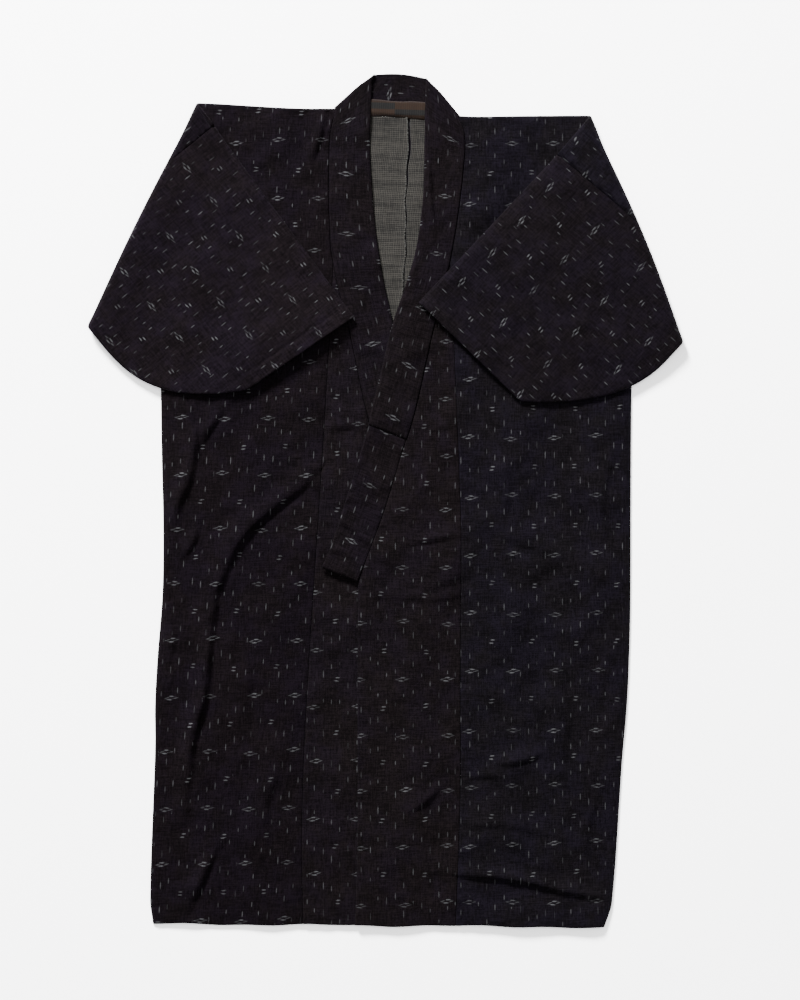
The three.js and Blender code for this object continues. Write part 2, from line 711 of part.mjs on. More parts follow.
function neckStrip() {
  const cloth = new Cloth();
  const low = WALL + SEAM_GAP;
  const onBand = COLLAR_STACK + SEAM_GAP;
  const ends = [STRIP_CLEARANCE - outAt(LEFT.collarEdge, 0), outAt(RIGHT.collarEdge, 0) - STRIP_CLEARANCE];
  const rows = Array.from({ length: STRIP_COLUMNS + 1 }, (unused, i) => {
    const x = lerp(ends[0], ends[1], i / STRIP_COLUMNS);
    const step = bandSeamY(x);
    const section = [
      { y: STRIP_BOTTOM, z: low },
      { y: step - STRIP_STEP_RUN, z: low },
      { y: step, z: onBand },
      { y: STRIP_TOP, z: onBand },
    ];
    return section.map(({ y, z }) => cloth.vertex(new THREE.Vector3(x, y, z + LINING), new THREE.Vector3(x, y, z)));
  });
  cloth.strips(rows.reverse());
  return piece("neck_strip", cloth, BROWN_STRIPE);
}

// The lining of the back where it shows, on either side of its centre seam.
const LINING_TUCK = 12;
const LINING_COLUMNS = 3;

function lining(half) {
  const cloth = new Cloth();
  const top = SEAM_GAP - STRIP_BOTTOM;
  const seamX = LINING_SEAM_X + (half.hand * SEAM_GAP) / 2;
  const rows = [top, ...sharedRows(top, LINING_DOWN, 2 * ROW_STEP)].map((down) => {
    const outer = half.hand * (outAt(half.collarSeam, down) - LINING_TUCK);
    return Array.from({ length: LINING_COLUMNS + 1 }, (unused, i) => {
      const x = lerp(seamX, outer, i / LINING_COLUMNS);
      const low = WALL + SEAM_GAP;
      return cloth.vertex(new THREE.Vector3(x, -down, low + LINING), new THREE.Vector3(x, -down, low));
    });
  });
  cloth.strips(half.hand > 0 ? rows.map((row) => [...row].reverse()) : rows);
  return piece(`lining_${half.name}`, cloth, CHECK_LINING);
}

// The robe is put on its base: its origin is under the middle of its outline.
function onBase(...pieces) {
  const laid = new THREE.Group();
  laid.add(...pieces);
  const box = new THREE.Box3().setFromObject(laid);
  const middle = box.getCenter(new THREE.Vector3());
  laid.position.set(-middle.x, -middle.y, -box.min.z);
  return laid;
}

const robe = onBase(
  bodyPanel(LEFT),
  bodyPanel(RIGHT),
  okumi(LEFT),
  okumi(RIGHT),
  sleeve(LEFT),
  sleeve(RIGHT),
  collarBand("collar", COLLAR_END_DOWN, 0, COLLAR_WALL, INDIGO_DARK),
  collarBand("over_collar", OVER_COLLAR_DOWN, COLLAR_WALL + SEAM_GAP, OVER_COLLAR_WALL, INDIGO),
  neckStrip(),
  lining(LEFT),
  lining(RIGHT),
);

export default robe;
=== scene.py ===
import math

import bmesh
import bpy
import numpy as np
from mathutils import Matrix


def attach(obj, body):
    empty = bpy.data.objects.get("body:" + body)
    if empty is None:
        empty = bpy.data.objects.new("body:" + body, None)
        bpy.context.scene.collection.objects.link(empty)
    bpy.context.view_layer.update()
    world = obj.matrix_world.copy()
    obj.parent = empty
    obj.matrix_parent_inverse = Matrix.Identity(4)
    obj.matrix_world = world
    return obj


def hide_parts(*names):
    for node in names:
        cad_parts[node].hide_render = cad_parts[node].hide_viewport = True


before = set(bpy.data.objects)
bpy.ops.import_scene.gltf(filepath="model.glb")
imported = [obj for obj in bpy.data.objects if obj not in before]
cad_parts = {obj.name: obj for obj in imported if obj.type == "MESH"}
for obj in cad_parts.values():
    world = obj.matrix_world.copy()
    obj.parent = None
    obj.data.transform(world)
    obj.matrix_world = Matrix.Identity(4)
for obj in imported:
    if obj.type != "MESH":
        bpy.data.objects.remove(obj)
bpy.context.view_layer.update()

# The camera looks straight down on the robe from 3 metres up, turned a little so that the robe
# leans in the picture as it does on the table.
VIEW_CENTRE = (0.0266, 0.0036)
VIEW_HEIGHT = 1.33
CAMERA_UP = 3.0
CLOTH_LEVEL = 0.006
CAMERA_TURN = math.radians(1.9)
SENSOR = 36

bpy.ops.object.select_all(action="DESELECT")
bpy.ops.object.camera_add(location=(*VIEW_CENTRE, CLOTH_LEVEL + CAMERA_UP), rotation=(0, 0, CAMERA_TURN))
camera = bpy.context.object
camera.name = "camera"
camera.data.sensor_fit = "VERTICAL"
camera.data.sensor_height = SENSOR
camera.data.lens = SENSOR * CAMERA_UP / VIEW_HEIGHT
bpy.context.scene.camera = camera


# The shader is written as sums on numbers that change over the surface. A recipe makes the nodes of
# one material, and a number wraps one of their sockets.
class Number:
    def __init__(self, recipe, socket):
        self.recipe = recipe
        self.socket = socket

    def math(self, operation, *others):
        values = {i: other for i, other in enumerate([self, *others])}
        return Number(self.recipe, self.recipe.node("Math", {"operation": operation}, values).outputs[0])

    def __add__(self, other):
        return self.math("ADD", other)

    def __sub__(self, other):
        return self.math("SUBTRACT", other)

    def __rsub__(self, other):
        return (self * -1) + other

    def __mul__(self, other):
        return self.math("MULTIPLY", other)

    def __truediv__(self, other):
        return self.math("DIVIDE", other)

    def __pow__(self, other):
        return self.math("POWER", other)

    def floor(self):
        return self.math("FLOOR")

    def sine(self):
        return self.math("SINE")

    def most(self, other):
        return self.math("MAXIMUM", other)

    def rising(self, low, high):
        values = {"Value": self, "From Min": low, "From Max": high}
        node = self.recipe.node("MapRange", {"interpolation_type": "SMOOTHSTEP"}, values)
        return Number(self.recipe, node.outputs["Result"])


class Recipe:
    def __init__(self, name):
        self.material = bpy.data.materials.new(name)
        self.material.use_nodes = True
        self.tree = self.material.node_tree
        self.finish = self.tree.nodes["Principled BSDF"]

    def node(self, kind, settings=None, values=None):
        node = self.tree.nodes.new("ShaderNode" + kind)
        for key, value in (settings or {}).items():
            setattr(node, key, value)
        self.fill(node, values or {})
        return node

    def feed(self, socket, value):
        value = value.socket if isinstance(value, Number) else value
        if isinstance(value, bpy.types.NodeSocket):
            self.tree.links.new(value, socket)
        else:
            socket.default_value = value

    def fill(self, node, values):
        for key, value in values.items():
            self.feed(node.inputs[key], value)

    def across_and_down(self):
        place = self.node("UVMap", {"uv_map": "cut"}).outputs["UV"]
        parts = self.node("SeparateXYZ", values={"Vector": place}).outputs
        return Number(self, parts["X"]) * 1000, Number(self, parts["Y"]) * 1000

    def vector(self, across, down):
        return self.node("CombineXYZ", values={"X": across, "Y": down}).outputs[0]

    def noise(self, across, down, detail=2.0, roughness=0.5):
        values = {"Vector": self.vector(across, down), "Scale": 1.0, "Detail": detail, "Roughness": roughness}
        return Number(self, self.node("TexNoise", {"noise_dimensions": "2D"}, values).outputs["Fac"])

    def chances(self, across, down):
        values = {"Vector": self.vector(across, down)}
        colour = self.node("TexWhiteNoise", {"noise_dimensions": "2D"}, values).outputs["Color"]
        parts = self.node("SeparateXYZ", values={"Vector": colour}).outputs
        return [Number(self, part) for part in parts]

    def mixed(self, share, first, second):
        mix = self.node("Mix", {"data_type": "RGBA"})
        for key, value in {"Factor": share, "A": first, "B": second}.items():
            named = [s for s in mix.inputs if s.name == key and s.type in ("RGBA", "VALUE")]
            socket = next(s for s in named if s.enabled)
            self.feed(socket, (*value, 1) if isinstance(value, tuple) else value)
        return next(s for s in mix.outputs if s.type == "RGBA" and s.enabled)

    def raised(self, height, distance, strength, beneath=None):
        values = {"Height": height, "Distance": distance, "Strength": strength}
        if beneath is not None:
            values["Normal"] = beneath
        return self.node("Bump", values=values).outputs["Normal"]


# The table: plain white paper, exposed past white as for a catalogue picture, with one broad soft
# light low beyond the collar, as at a window, and a weak one overhead, so that folds show as soft
# dark lines.
FLOOR_SIZE = 8
FLOOR_LEVEL = -0.0005
FLOOR_COLOUR = (3.3, 3.3, 3.32)
FLOOR_SHADE = 0.985

bpy.ops.mesh.primitive_plane_add(size=FLOOR_SIZE, location=(0, 0, 0))
floor = bpy.context.object
floor.name = "floor"
bpy.ops.object.mode_set(mode="EDIT")
bpy.ops.mesh.select_all(action="SELECT")
bpy.ops.mesh.subdivide(number_cuts=3)
bpy.ops.transform.translate(value=(0, 0, FLOOR_LEVEL))
bpy.ops.object.mode_set(mode="OBJECT")
paper = Recipe("pale_paper")
paper_place = paper.node("TexCoord").outputs["Object"]
paper_grain = paper.node("TexNoise", values={"Vector": paper_place, "Scale": 3.0, "Detail": 3.0})
paper_share = Number(paper, paper_grain.outputs["Fac"]).rising(0.2, 0.8)
paper_colour = paper.mixed(paper_share, FLOOR_COLOUR, tuple(FLOOR_SHADE * c for c in FLOOR_COLOUR))
paper.fill(paper.finish, {"Base Color": paper_colour, "Roughness": 0.95, "Specular IOR Level": 0.0})
floor.data.materials.append(paper.material)


def soft_light(name, place, size, power):
    bpy.ops.object.light_add(type="AREA", location=place)
    light = bpy.context.object
    light.name = name
    light.data.shape = "DISK"
    light.data.size = size
    light.data.energy = power
    aim = -np.array(place) / np.linalg.norm(place)
    light.rotation_euler = (math.acos(-aim[2]), 0, math.atan2(-aim[0], aim[1]))


soft_light("window", (-2.5, 5.2, 2.8), 1.5, 1480)
soft_light("overhead", (0.3, 0.4, 3.4), 2.4, 26)
world = bpy.context.scene.world or bpy.data.worlds.new("room")
bpy.context.scene.world = world
world.use_nodes = True
world.node_tree.nodes["Background"].inputs["Color"].default_value = (1, 1, 1, 1)
world.node_tree.nodes["Background"].inputs["Strength"].default_value = 0.5


# The body: two lengths of indigo cotton, each from the back hem over the shoulder to the front hem,
# sewn to each other at the centre back and closed at the side below the sleeve. Every size here is
# in millimetres: "down" from the shoulder line, "out" from the centre back seam.
WALL = 2
SEAM_GAP = 0.3
LINING = 1
COLLAR_STACK = 3.5
TUBE_STACK = 2 * WALL + SEAM_GAP
LENGTH = 1083
HEM_TILT = 0.027
TIP_DOWN = 200
COLLAR_END_DOWN = 624
NECK_POINT_DOWN = 8
CLOTH_THICKNESS = 1.3

FOLD_ANGLE = math.radians(24.5)
FOLD_HEIGHT = 6.5
FOLD_LENGTH = 13.8
ALONG_FOLD = (math.sin(FOLD_ANGLE), math.cos(FOLD_ANGLE))

LEFT = {
    "name": "left",
    "hand": -1,
    "fold_top": (278, 0),
    "sleeve": {"depth": 299, "cuff_top": (630, 15.5), "cuff_low": (615, 188), "curve": 172, "bend": 2.7},
    "cuff_lift": 6.5,
    "neck_lift": 2.0,
    "corner_lift": 3.5,
    "side": [
        (300, 316), (383, 314), (470, 310), (560, 305), (650, 303), (740, 307), (800, 308), (850, 306),
        (1050, 306), (1083, 301),
    ],
    "fold_bow": 3.0,
    "lean": 0.048,
    "okumi_seam": [(200, 90), (312, 92), (466, 96), (786, 106), (947, 107), (1083, 101)],
    "okumi_edge": [(624, -27), (784, -30), (1083, -35)],
    "collar_seam": [(-4, 93), (40, 100), (172, 95), (230, 84), (291, 66), (354, 51), (401, 39), (624, -27)],
    "collar_edge": [
        (0, 46.5), (39, 46.5), (118, 40), (198, 28), (280, 8), (309, 1), (403, -20), (581, -66), (624, -82),
    ],
}
RIGHT = {
    "name": "right",
    "hand": 1,
    "fold_top": (245, -1.5),
    "sleeve": {"depth": 293, "cuff_top": (582, -1), "cuff_low": (586.4, 188), "curve": 170, "bend": 2},
    "cuff_lift": 3,
    "neck_lift": -2.5,
    "corner_lift": 4.5,
    "side": [
        (300, 312), (383, 313), (500, 316), (650, 320.5), (740, 321), (800, 319.5), (850, 316.5),
        (1050, 309), (1083, 300),
    ],
    "fold_bow": 5.5,
    "lean": 0.0,
    "okumi_seam": [(200, 65), (309, 74), (482, 87), (564, 92), (779, 98), (888, 102), (1083, 102)],
    "okumi_edge": [(624, -43), (784, -38.5), (968, -32.5), (1083, -32)],
    "collar_seam": [
        (4, 69.5), (24, 78), (54, 79.5), (137, 73), (206, 63), (294, 44.5), (401, 24), (462, 7), (534, -12.5),
        (624, -43),
    ],
    "collar_edge": [
        (0, 25), (50, 26), (116, 26), (183, 19), (237, 5), (280, -8), (356, -24), (403, -34), (422, -37),
        (581, -81), (624, -99),
    ],
}

# Creases in the laid fronts, each a line of (x, down) points. A fold stands up with its steep side
# towards the line; a trough sinks along it.
FOLDS = {
    "left": [
        ([(-101, 484), (-115, 507), (-138, 524), (-160, 542), (-180, 560), (-201, 588), (-209, 607),
          (-220, 637), (-227, 657)], 5.8, 11),
        ([(-224, 640), (-229, 690), (-233, 740), (-236, 790), (-245, 825), (-252, 855), (-253, 888),
          (-257, 929)], 7.2, 9.5),
        ([(-215, 991), (-228, 1020), (-237, 1044), (-247, 1062)], 5.8, 8.5),
        ([(-277, 391), (-260, 425), (-260, 462), (-267, 503), (-282, 538), (-284, 580)], 5.0, 9),
        ([(-223, 400), (-235, 420), (-250, 443), (-256, 458)], 4.0, 8),
        ([(-254, 556), (-257, 578), (-274, 605)], 4.2, 6),
        ([(-103, 4), (-110, 38), (-122, 78)], 4.0, 6),
        ([(-47, 422), (-68, 426), (-90, 430)], 2.3, 6),
        ([(-186, 700), (-176, 760), (-181, 830)], 2.4, 13),
        ([(-132, 870), (-150, 930), (-146, 990)], 2.6, 12),
        ([(-296, 640), (-280, 700), (-286, 760)], 2.6, 10),
        ([(-205, 668), (-196, 700), (-207, 731)], 1.8, 7),
    ],
    "right": [
        ([(306, 1043), (243, 1034), (200, 1024), (156, 1018), (112, 1017), (78, 1013)], 5.5, 7),
        ([(161, 884), (138, 882), (117, 885)], 2.4, 5),
        ([(212, 851), (182, 863), (151, 867)], 3.2, 6),
        ([(76, 900), (60, 918), (38, 932)], 2.8, 5),
        ([(91, 563), (50, 572), (20, 577)], 2.6, 5),
        ([(285, 700), (210, 590), (120, 560)], 3.2, 18),
        ([(110, 640), (60, 652), (-15, 649)], 1.7, 7),
        ([(225, 960), (150, 948), (100, 955)], 1.9, 9),
        ([(300, 430), (284, 500), (292, 570)], 2.8, 10),
        ([(232, 720), (250, 800), (243, 880)], 2.6, 15),
        ([(150, 440), (160, 500), (150, 560)], 2.0, 12),
        ([(292, 900), (276, 960), (284, 1010)], 2.6, 10),
        ([(35, 53), (38, 90), (42, 130), (49, 165)], 3.0, 4),
        ([(-15, 592), (-38, 575), (-60, 556), (-86, 544)], 2.8, 5),
        ([(-30, 524), (-58, 520), (-84, 526)], 2.0, 4),
        ([(-50, 600), (-68, 590), (-88, 586)], 1.8, 4),
    ],
}
TROUGHS = {
    "left": [
        ([(-58, 329), (-40, 326), (-19, 323)], 1.0, 4),
        ([(-63, 554), (-40, 553), (-16, 553)], 1.0, 4),
        ([(-91, 330), (-94, 400), (-97, 470)], 0.8, 6),
        ([(-150, 60), (-190, 92), (-230, 100)], 1.2, 12),
    ],
    "right": [
        ([(245, 0), (223, 23), (204, 45), (188, 58), (164, 90), (145, 120), (122, 145), (86, 177),
          (63, 211)], 1.6, 10),
        ([(85, 923), (84, 950), (83, 975)], 0.9, 4),
        ([(-29, 786), (20, 790), (85, 783)], 0.5, 4),
        ([(-29, 803), (25, 800), (85, 806)], 0.5, 4),
        ([(160, 690), (200, 700), (250, 694)], 0.9, 9),
    ],
}

chance = np.random.default_rng(11)
SWELLS = [
    (math.cos(turn) / length, math.sin(turn) / length, chance.uniform(0, 2 * math.pi), height)
    for length, height, count in ((95, 0.42, 5), (46, 0.2, 6), (21, 0.075, 7))
    for turn in chance.uniform(0, math.pi, count)
]


def rising(value, low, high):
    share = np.clip((value - low) / (high - low), 0, 1)
    return share * share * (3 - 2 * share)


def between(first, second, share):
    return first + (second - first) * share


def out_at(table, down):
    downs, outs = np.array(table, float).T
    ends = np.arange(len(downs))
    before, after = np.maximum(ends - 1, 0), np.minimum(ends + 1, len(downs) - 1)
    slopes = (outs[after] - outs[before]) / (downs[after] - downs[before])
    k = np.clip(np.searchsorted(downs, down, side="right") - 1, 0, len(downs) - 2)
    span = downs[k + 1] - downs[k]
    share = np.clip((down - downs[k]) / span, 0, 1)
    rise = outs[k + 1] - outs[k]
    bend = (1 - share) * (slopes[k] * span - rise) + share * (rise - slopes[k + 1] * span)
    return outs[k] + rise * share + (1 - share) * share * bend


def along_line(points, x, down):
    """How far each place lies from a line, to the right positive, and its share of the way along."""
    points = np.array(points, float)
    steps = np.linalg.norm(np.diff(points, axis=0), axis=1)
    reached = np.concatenate([[0], np.cumsum(steps)])
    finer = np.linspace(0, reached[-1], max(len(points), int(reached[-1] / 8)))
    line = np.stack([np.interp(finer, reached, column) for column in points.T], axis=1)
    line[1:-1] = (line[:-2] + 2 * line[1:-1] + line[2:]) / 4
    nearest = np.full(x.shape, 1e9)
    share = np.zeros(x.shape)
    sided = np.zeros(x.shape)
    for i in range(len(line) - 1):
        run = line[i + 1] - line[i]
        t = np.clip(((x - line[i, 0]) * run[0] + (down - line[i, 1]) * run[1]) / (run @ run), 0, 1)
        off_x = x - line[i, 0] - t * run[0]
        off_down = down - line[i, 1] - t * run[1]
        away = np.hypot(off_x, off_down)
        side = np.where(run[1] * off_x - run[0] * off_down < 0, -1, 1)
        closer = away < nearest
        nearest = np.where(closer, away, nearest)
        share = np.where(closer, (i + t) / (len(line) - 1), share)
        sided = np.where(closer, side * away, sided)
    return sided, share


CREST_ASIDE = 0.75
SOFT_SIDE, STEEP_SIDE = 1.5, 0.5
DIP_SHARE, DIP_WIDTH = 0.28, 0.35


def close_by(points, reach, x, down):
    xs, downs = np.array(points).T
    near = (x > xs.min() - reach) & (x < xs.max() + reach) & (down > downs.min() - reach)
    return near & (down < downs.max() + reach)


def dying_out(share):
    """How strong a crease is along its length: full in the middle, gone at both ends."""
    return np.sin(math.pi * np.clip(share, 0.04, 0.96)) ** 0.6


def creased(half, x, down):
    """How far the creases of one front lift or sink the cloth."""
    height = np.zeros(x.shape)
    for points, rise, width in FOLDS[half["name"]]:
        near = close_by(points, 4 * width, x, down)
        sided, share = along_line(points, x[near], down[near])
        crest = (sided + CREST_ASIDE * width) / width
        ridge = np.exp(-((crest / np.where(crest < 0, SOFT_SIDE, STEEP_SIDE)) ** 2))
        dip = np.exp(-((sided / (DIP_WIDTH * width)) ** 2))
        height[near] += rise * dying_out(share) * (ridge - DIP_SHARE * dip)
    for points, depth, width in TROUGHS[half["name"]]:
        near = close_by(points, 3 * width, x, down)
        sided, share = along_line(points, x[near], down[near])
        height[near] -= depth * dying_out(share) * np.exp(-((sided / width) ** 2))
    return height


def swelling(x, down):
    height = np.zeros(x.shape)
    for per_x, per_down, start, size in SWELLS:
        height += size * np.sin(2 * math.pi * (per_x * x + per_down * down) + start)
    return height


def laid_down(x, down):
    wave = 0.9 * np.sin(x / 31 + 1) + 0.6 * np.sin(x / 12.5)
    hemward = rising(down, COLLAR_END_DOWN + 30, LENGTH)
    wave = wave + 2 * rising(x, 230, 290)
    return down - (HEM_TILT * x) * hemward + wave * rising(down, LENGTH - 90, LENGTH)


def hidden_edge_x(down):
    below = rising(down, COLLAR_END_DOWN - 18, COLLAR_END_DOWN + 18)
    return between(-out_at(LEFT["collar_edge"], down), -out_at(LEFT["okumi_edge"], down), below)


SIDE_LAY = WALL + SEAM_GAP
LINED_LAY = WALL + LINING + 2 * SEAM_GAP
FLAT_BY_SIDE = 75
LIFT_OVER_COLLAR = COLLAR_STACK + 2 * SEAM_GAP
LIFT_OVER_PANEL = WALL + 2 * SEAM_GAP


def front_low(half, x, down):
    """The height of the underside of a front."""
    inland = out_at(half["side"], down) - FLAT_BY_SIDE - half["hand"] * x
    hemward = rising(down, LENGTH - 95, LENGTH)
    low = between(SIDE_LAY, LINED_LAY, rising(inland, 0, 80) * (1 - 0.7 * hemward))
    by_edge = 0.25 + 0.75 * rising(out_at(half["side"], down) - half["hand"] * x, 0, 24)
    low = low + (creased(half, x, down) + np.maximum(swelling(x, down) + 0.35, -0.3)) * by_edge
    if half is RIGHT:
        crossing = rising(down, 215, 272)
        lift = between(LIFT_OVER_COLLAR, LIFT_OVER_PANEL, rising(down, COLLAR_END_DOWN + 16, 720))
        edge = hidden_edge_x(down)
        low = low + crossing * lift * (1 - rising(x, edge + 6, edge + 45))
        low = low + 3 * rising(x, 40, 190) * rising(down, 1030, LENGTH)
    return np.maximum(low, WALL + 0.1)


def flap_low(half, x, down):
    over_collar = 1 - rising(half["hand"] * x - out_at(half["collar_seam"], down), 2, 45)
    return front_low(half, x, down) + WALL + 2 * SEAM_GAP + (COLLAR_STACK - WALL) * over_collar


def fold_axis(half):
    sin, cos = ALONG_FOLD
    return half["fold_top"][0] - FOLD_HEIGHT * cos, half["fold_top"][1] + FOLD_HEIGHT * sin


def beyond_fold(half, out, down):
    sin, cos = ALONG_FOLD
    axis_out, axis_down = fold_axis(half)
    return (out - axis_out) * cos - (down - axis_down) * sin


def fold_line_out(half, down, beyond):
    sin, cos = ALONG_FOLD
    axis_out, axis_down = fold_axis(half)
    return axis_out + (beyond + (down - axis_down) * sin) / cos


CUFF_LIFT_REACH = 110
SETTLING = 65
BOW_REACH = 45


def placed(half, out, down, level):
    """Lays points of the opened-out half in the robe, over the sleeve's fold where they pass it."""
    sin, cos = ALONG_FOLD
    hand = half["hand"]
    beyond = beyond_fold(half, out, down)
    turn = math.pi * np.clip(beyond / FOLD_LENGTH, 0, 1)
    reach = (FOLD_HEIGHT - level) * np.sin(turn) - np.maximum(beyond - FOLD_LENGTH, 0)
    shift = np.where(beyond > 0, reach - beyond, 0)
    new_out = out + shift * cos
    new_down = down - shift * sin
    (top_out, top_down), (low_out, low_down) = half["sleeve"]["cuff_top"], half["sleeve"]["cuff_low"]
    across = np.clip((down - top_down) / (low_down - top_down), 0, 1)
    to_cuff = between(top_out, low_out, across) - out
    by_cuff = 1 - rising(to_cuff, 0, CUFF_LIFT_REACH)
    lift = half["cuff_lift"] * by_cuff * np.sin(math.pi * (0.15 + 0.7 * across))
    settled = rising(beyond, FOLD_LENGTH, FOLD_LENGTH + SETTLING)
    flap = between(2 * FOLD_HEIGHT - TUBE_STACK, flap_low(half, hand * new_out, new_down) + lift, settled)
    bent = FOLD_HEIGHT - (FOLD_HEIGHT - level) * np.cos(turn)
    z = np.where(beyond <= 0, level, np.where(beyond <= FOLD_LENGTH, bent, flap + TUBE_STACK - level))
    by_fold = np.exp(-((beyond_fold(half, new_out, new_down) / BOW_REACH) ** 2))
    bow = half["fold_bow"] * np.sin(math.pi * np.clip((new_down - 30) / 250, 0, 1)) * by_fold
    by_neck = np.exp(-(((new_out - 85) / 45) ** 2)) * (1 - rising(new_down, 0, 30))
    by_corner = rising(new_out, 120, 278) * (1 - rising(new_down, 0, 60))
    up = half["neck_lift"] * by_neck + half["corner_lift"] * by_corner
    return np.stack([hand * (new_out + bow * cos), -(new_down - bow * sin) + up, z], axis=-1)


PRESS_DEPTH, PRESS_REACH = 1.7, 16
TURN_IN_REACH = 25
TUBE_ROUND, TURNED_ROUND = 5, 11


def turned_in(beyond):
    return rising(beyond, FOLD_LENGTH, FOLD_LENGTH + TURN_IN_REACH)


def rounded(distance, width):
    near = 1 - np.clip(distance / width, 0, 1)
    return np.sqrt(np.maximum(1 - near * near, 0))


def puckered(distance, along, reach=11, size=0.45):
    """Small uneven gathers beside a seam, fading away from it."""
    wave = np.sin(along / 2.3 + 2 * np.sin(along / 17)) * (0.55 + 0.45 * np.sin(along / 41 + 1))
    return size * wave * np.exp(-distance / reach) * rising(distance, 0, 2.5)


def graded(length, count, near=(0, 0.5, 1.3, 2.6, 4.6, 8)):
    """Shares of the way across, closer together by both edges."""
    near = np.array(near, float)
    scale = np.minimum(1, np.asarray(length, float)[..., None] / (3 * near[-1]))
    first = near * scale
    span = np.asarray(length, float)[..., None]
    middle = np.linspace(0, 1, count)[1:-1]
    inner = first[..., -1:] + (span - 2 * first[..., -1:]) * middle
    return np.concatenate([first, inner, span - first[..., ::-1]], axis=-1) / span


BASE_SHIFT = (0.0175, 0.5196)
CLOTH_TILT = math.radians(1.9)
LEANS_FROM = 900
MM = 0.001
JOINED_WITHIN = 0.00002


def cut_place(x, down, lean=0.0):
    """Where a point lies on the cloth as woven: across the loom's width, and along its length."""
    across = x * math.cos(CLOTH_TILT) - down * math.sin(CLOTH_TILT)
    along = x * math.sin(CLOTH_TILT) + down * math.cos(CLOTH_TILT)
    return np.stack([across + lean * (along - LEANS_FROM), along], axis=-1)


def sewn(name, grids, thickness=CLOTH_THICKNESS):
    """A sheet of cloth from grids of points, joined where they meet, with a wall's thickness."""
    corners, cuts, faces = [], [], []
    for points, cut, turned in grids:
        start = len(corners)
        rows, columns = points.shape[:2]
        corners.extend(points.reshape(-1, 3))
        cuts.extend(cut.reshape(-1, 2))
        for r in range(rows - 1):
            for c in range(columns - 1):
                a = start + r * columns + c
                face = (a, a + 1, a + columns + 1, a + columns)
                faces.append(face[::-1] if turned else face)
    corners = np.array(corners) * MM
    corners[:, 0] += BASE_SHIFT[0]
    corners[:, 1] += BASE_SHIFT[1]
    mesh = bpy.data.meshes.new(name)
    mesh.from_pydata(corners.tolist(), [], faces)
    layer = mesh.uv_layers.new(name="cut")
    loops = np.empty(len(mesh.loops), dtype=np.int32)
    mesh.loops.foreach_get("vertex_index", loops)
    layer.data.foreach_set("uv", (np.array(cuts)[loops] * MM).ravel())
    work = bmesh.new()
    work.from_mesh(mesh)
    bmesh.ops.remove_doubles(work, verts=work.verts, dist=JOINED_WITHIN)
    bmesh.ops.dissolve_degenerate(work, dist=JOINED_WITHIN, edges=work.edges)
    for face in work.faces:
        face.smooth = True
    work.to_mesh(mesh)
    work.free()
    piece = bpy.data.objects.new(name, mesh)
    bpy.context.collection.objects.link(piece)
    wall = piece.modifiers.new("wall", "SOLIDIFY")
    wall.thickness = thickness * MM
    wall.offset = -1
    bpy.ops.object.select_all(action="DESELECT")
    bpy.context.view_layer.objects.active = piece
    piece.select_set(True)
    bpy.ops.object.modifier_apply(modifier="wall")
    piece.data.polygons.foreach_set("use_smooth", [True] * len(piece.data.polygons))
    return piece


PALE_THREAD = (0.072, 0.073, 0.077)
# Each stroke: its middle across and down, half its length and height, its slope and its strength.
BIG_STROKES = [(0.9, -2.1, 3.4, 1.0, 0.05, 1.0), (-0.9, 2.1, 3.6, 1.0, 0.05, 1.0),
               (-5.6, -0.4, 3.8, 0.65, -0.22, 0.62), (5.6, 0.4, 3.8, 0.65, -0.22, 0.62),
               (5.8, -1.1, 3.0, 0.55, 0.2, 0.24), (-5.8, 1.1, 3.0, 0.55, 0.2, 0.24)]
SMALL_STROKES = [(0.6, -2.1, 3.0, 0.95, 0.0, 1.0), (-0.6, 2.1, 3.0, 0.95, 0.0, 1.0)]
WORN, KEPT = (1.06, 1.05, 0.92), (0.97, 0.93, 1.07)
SLUB_RANGE = (0.54, 1.52)
YARN_PITCH = 0.85
WEAVE_PITCH = 0.9


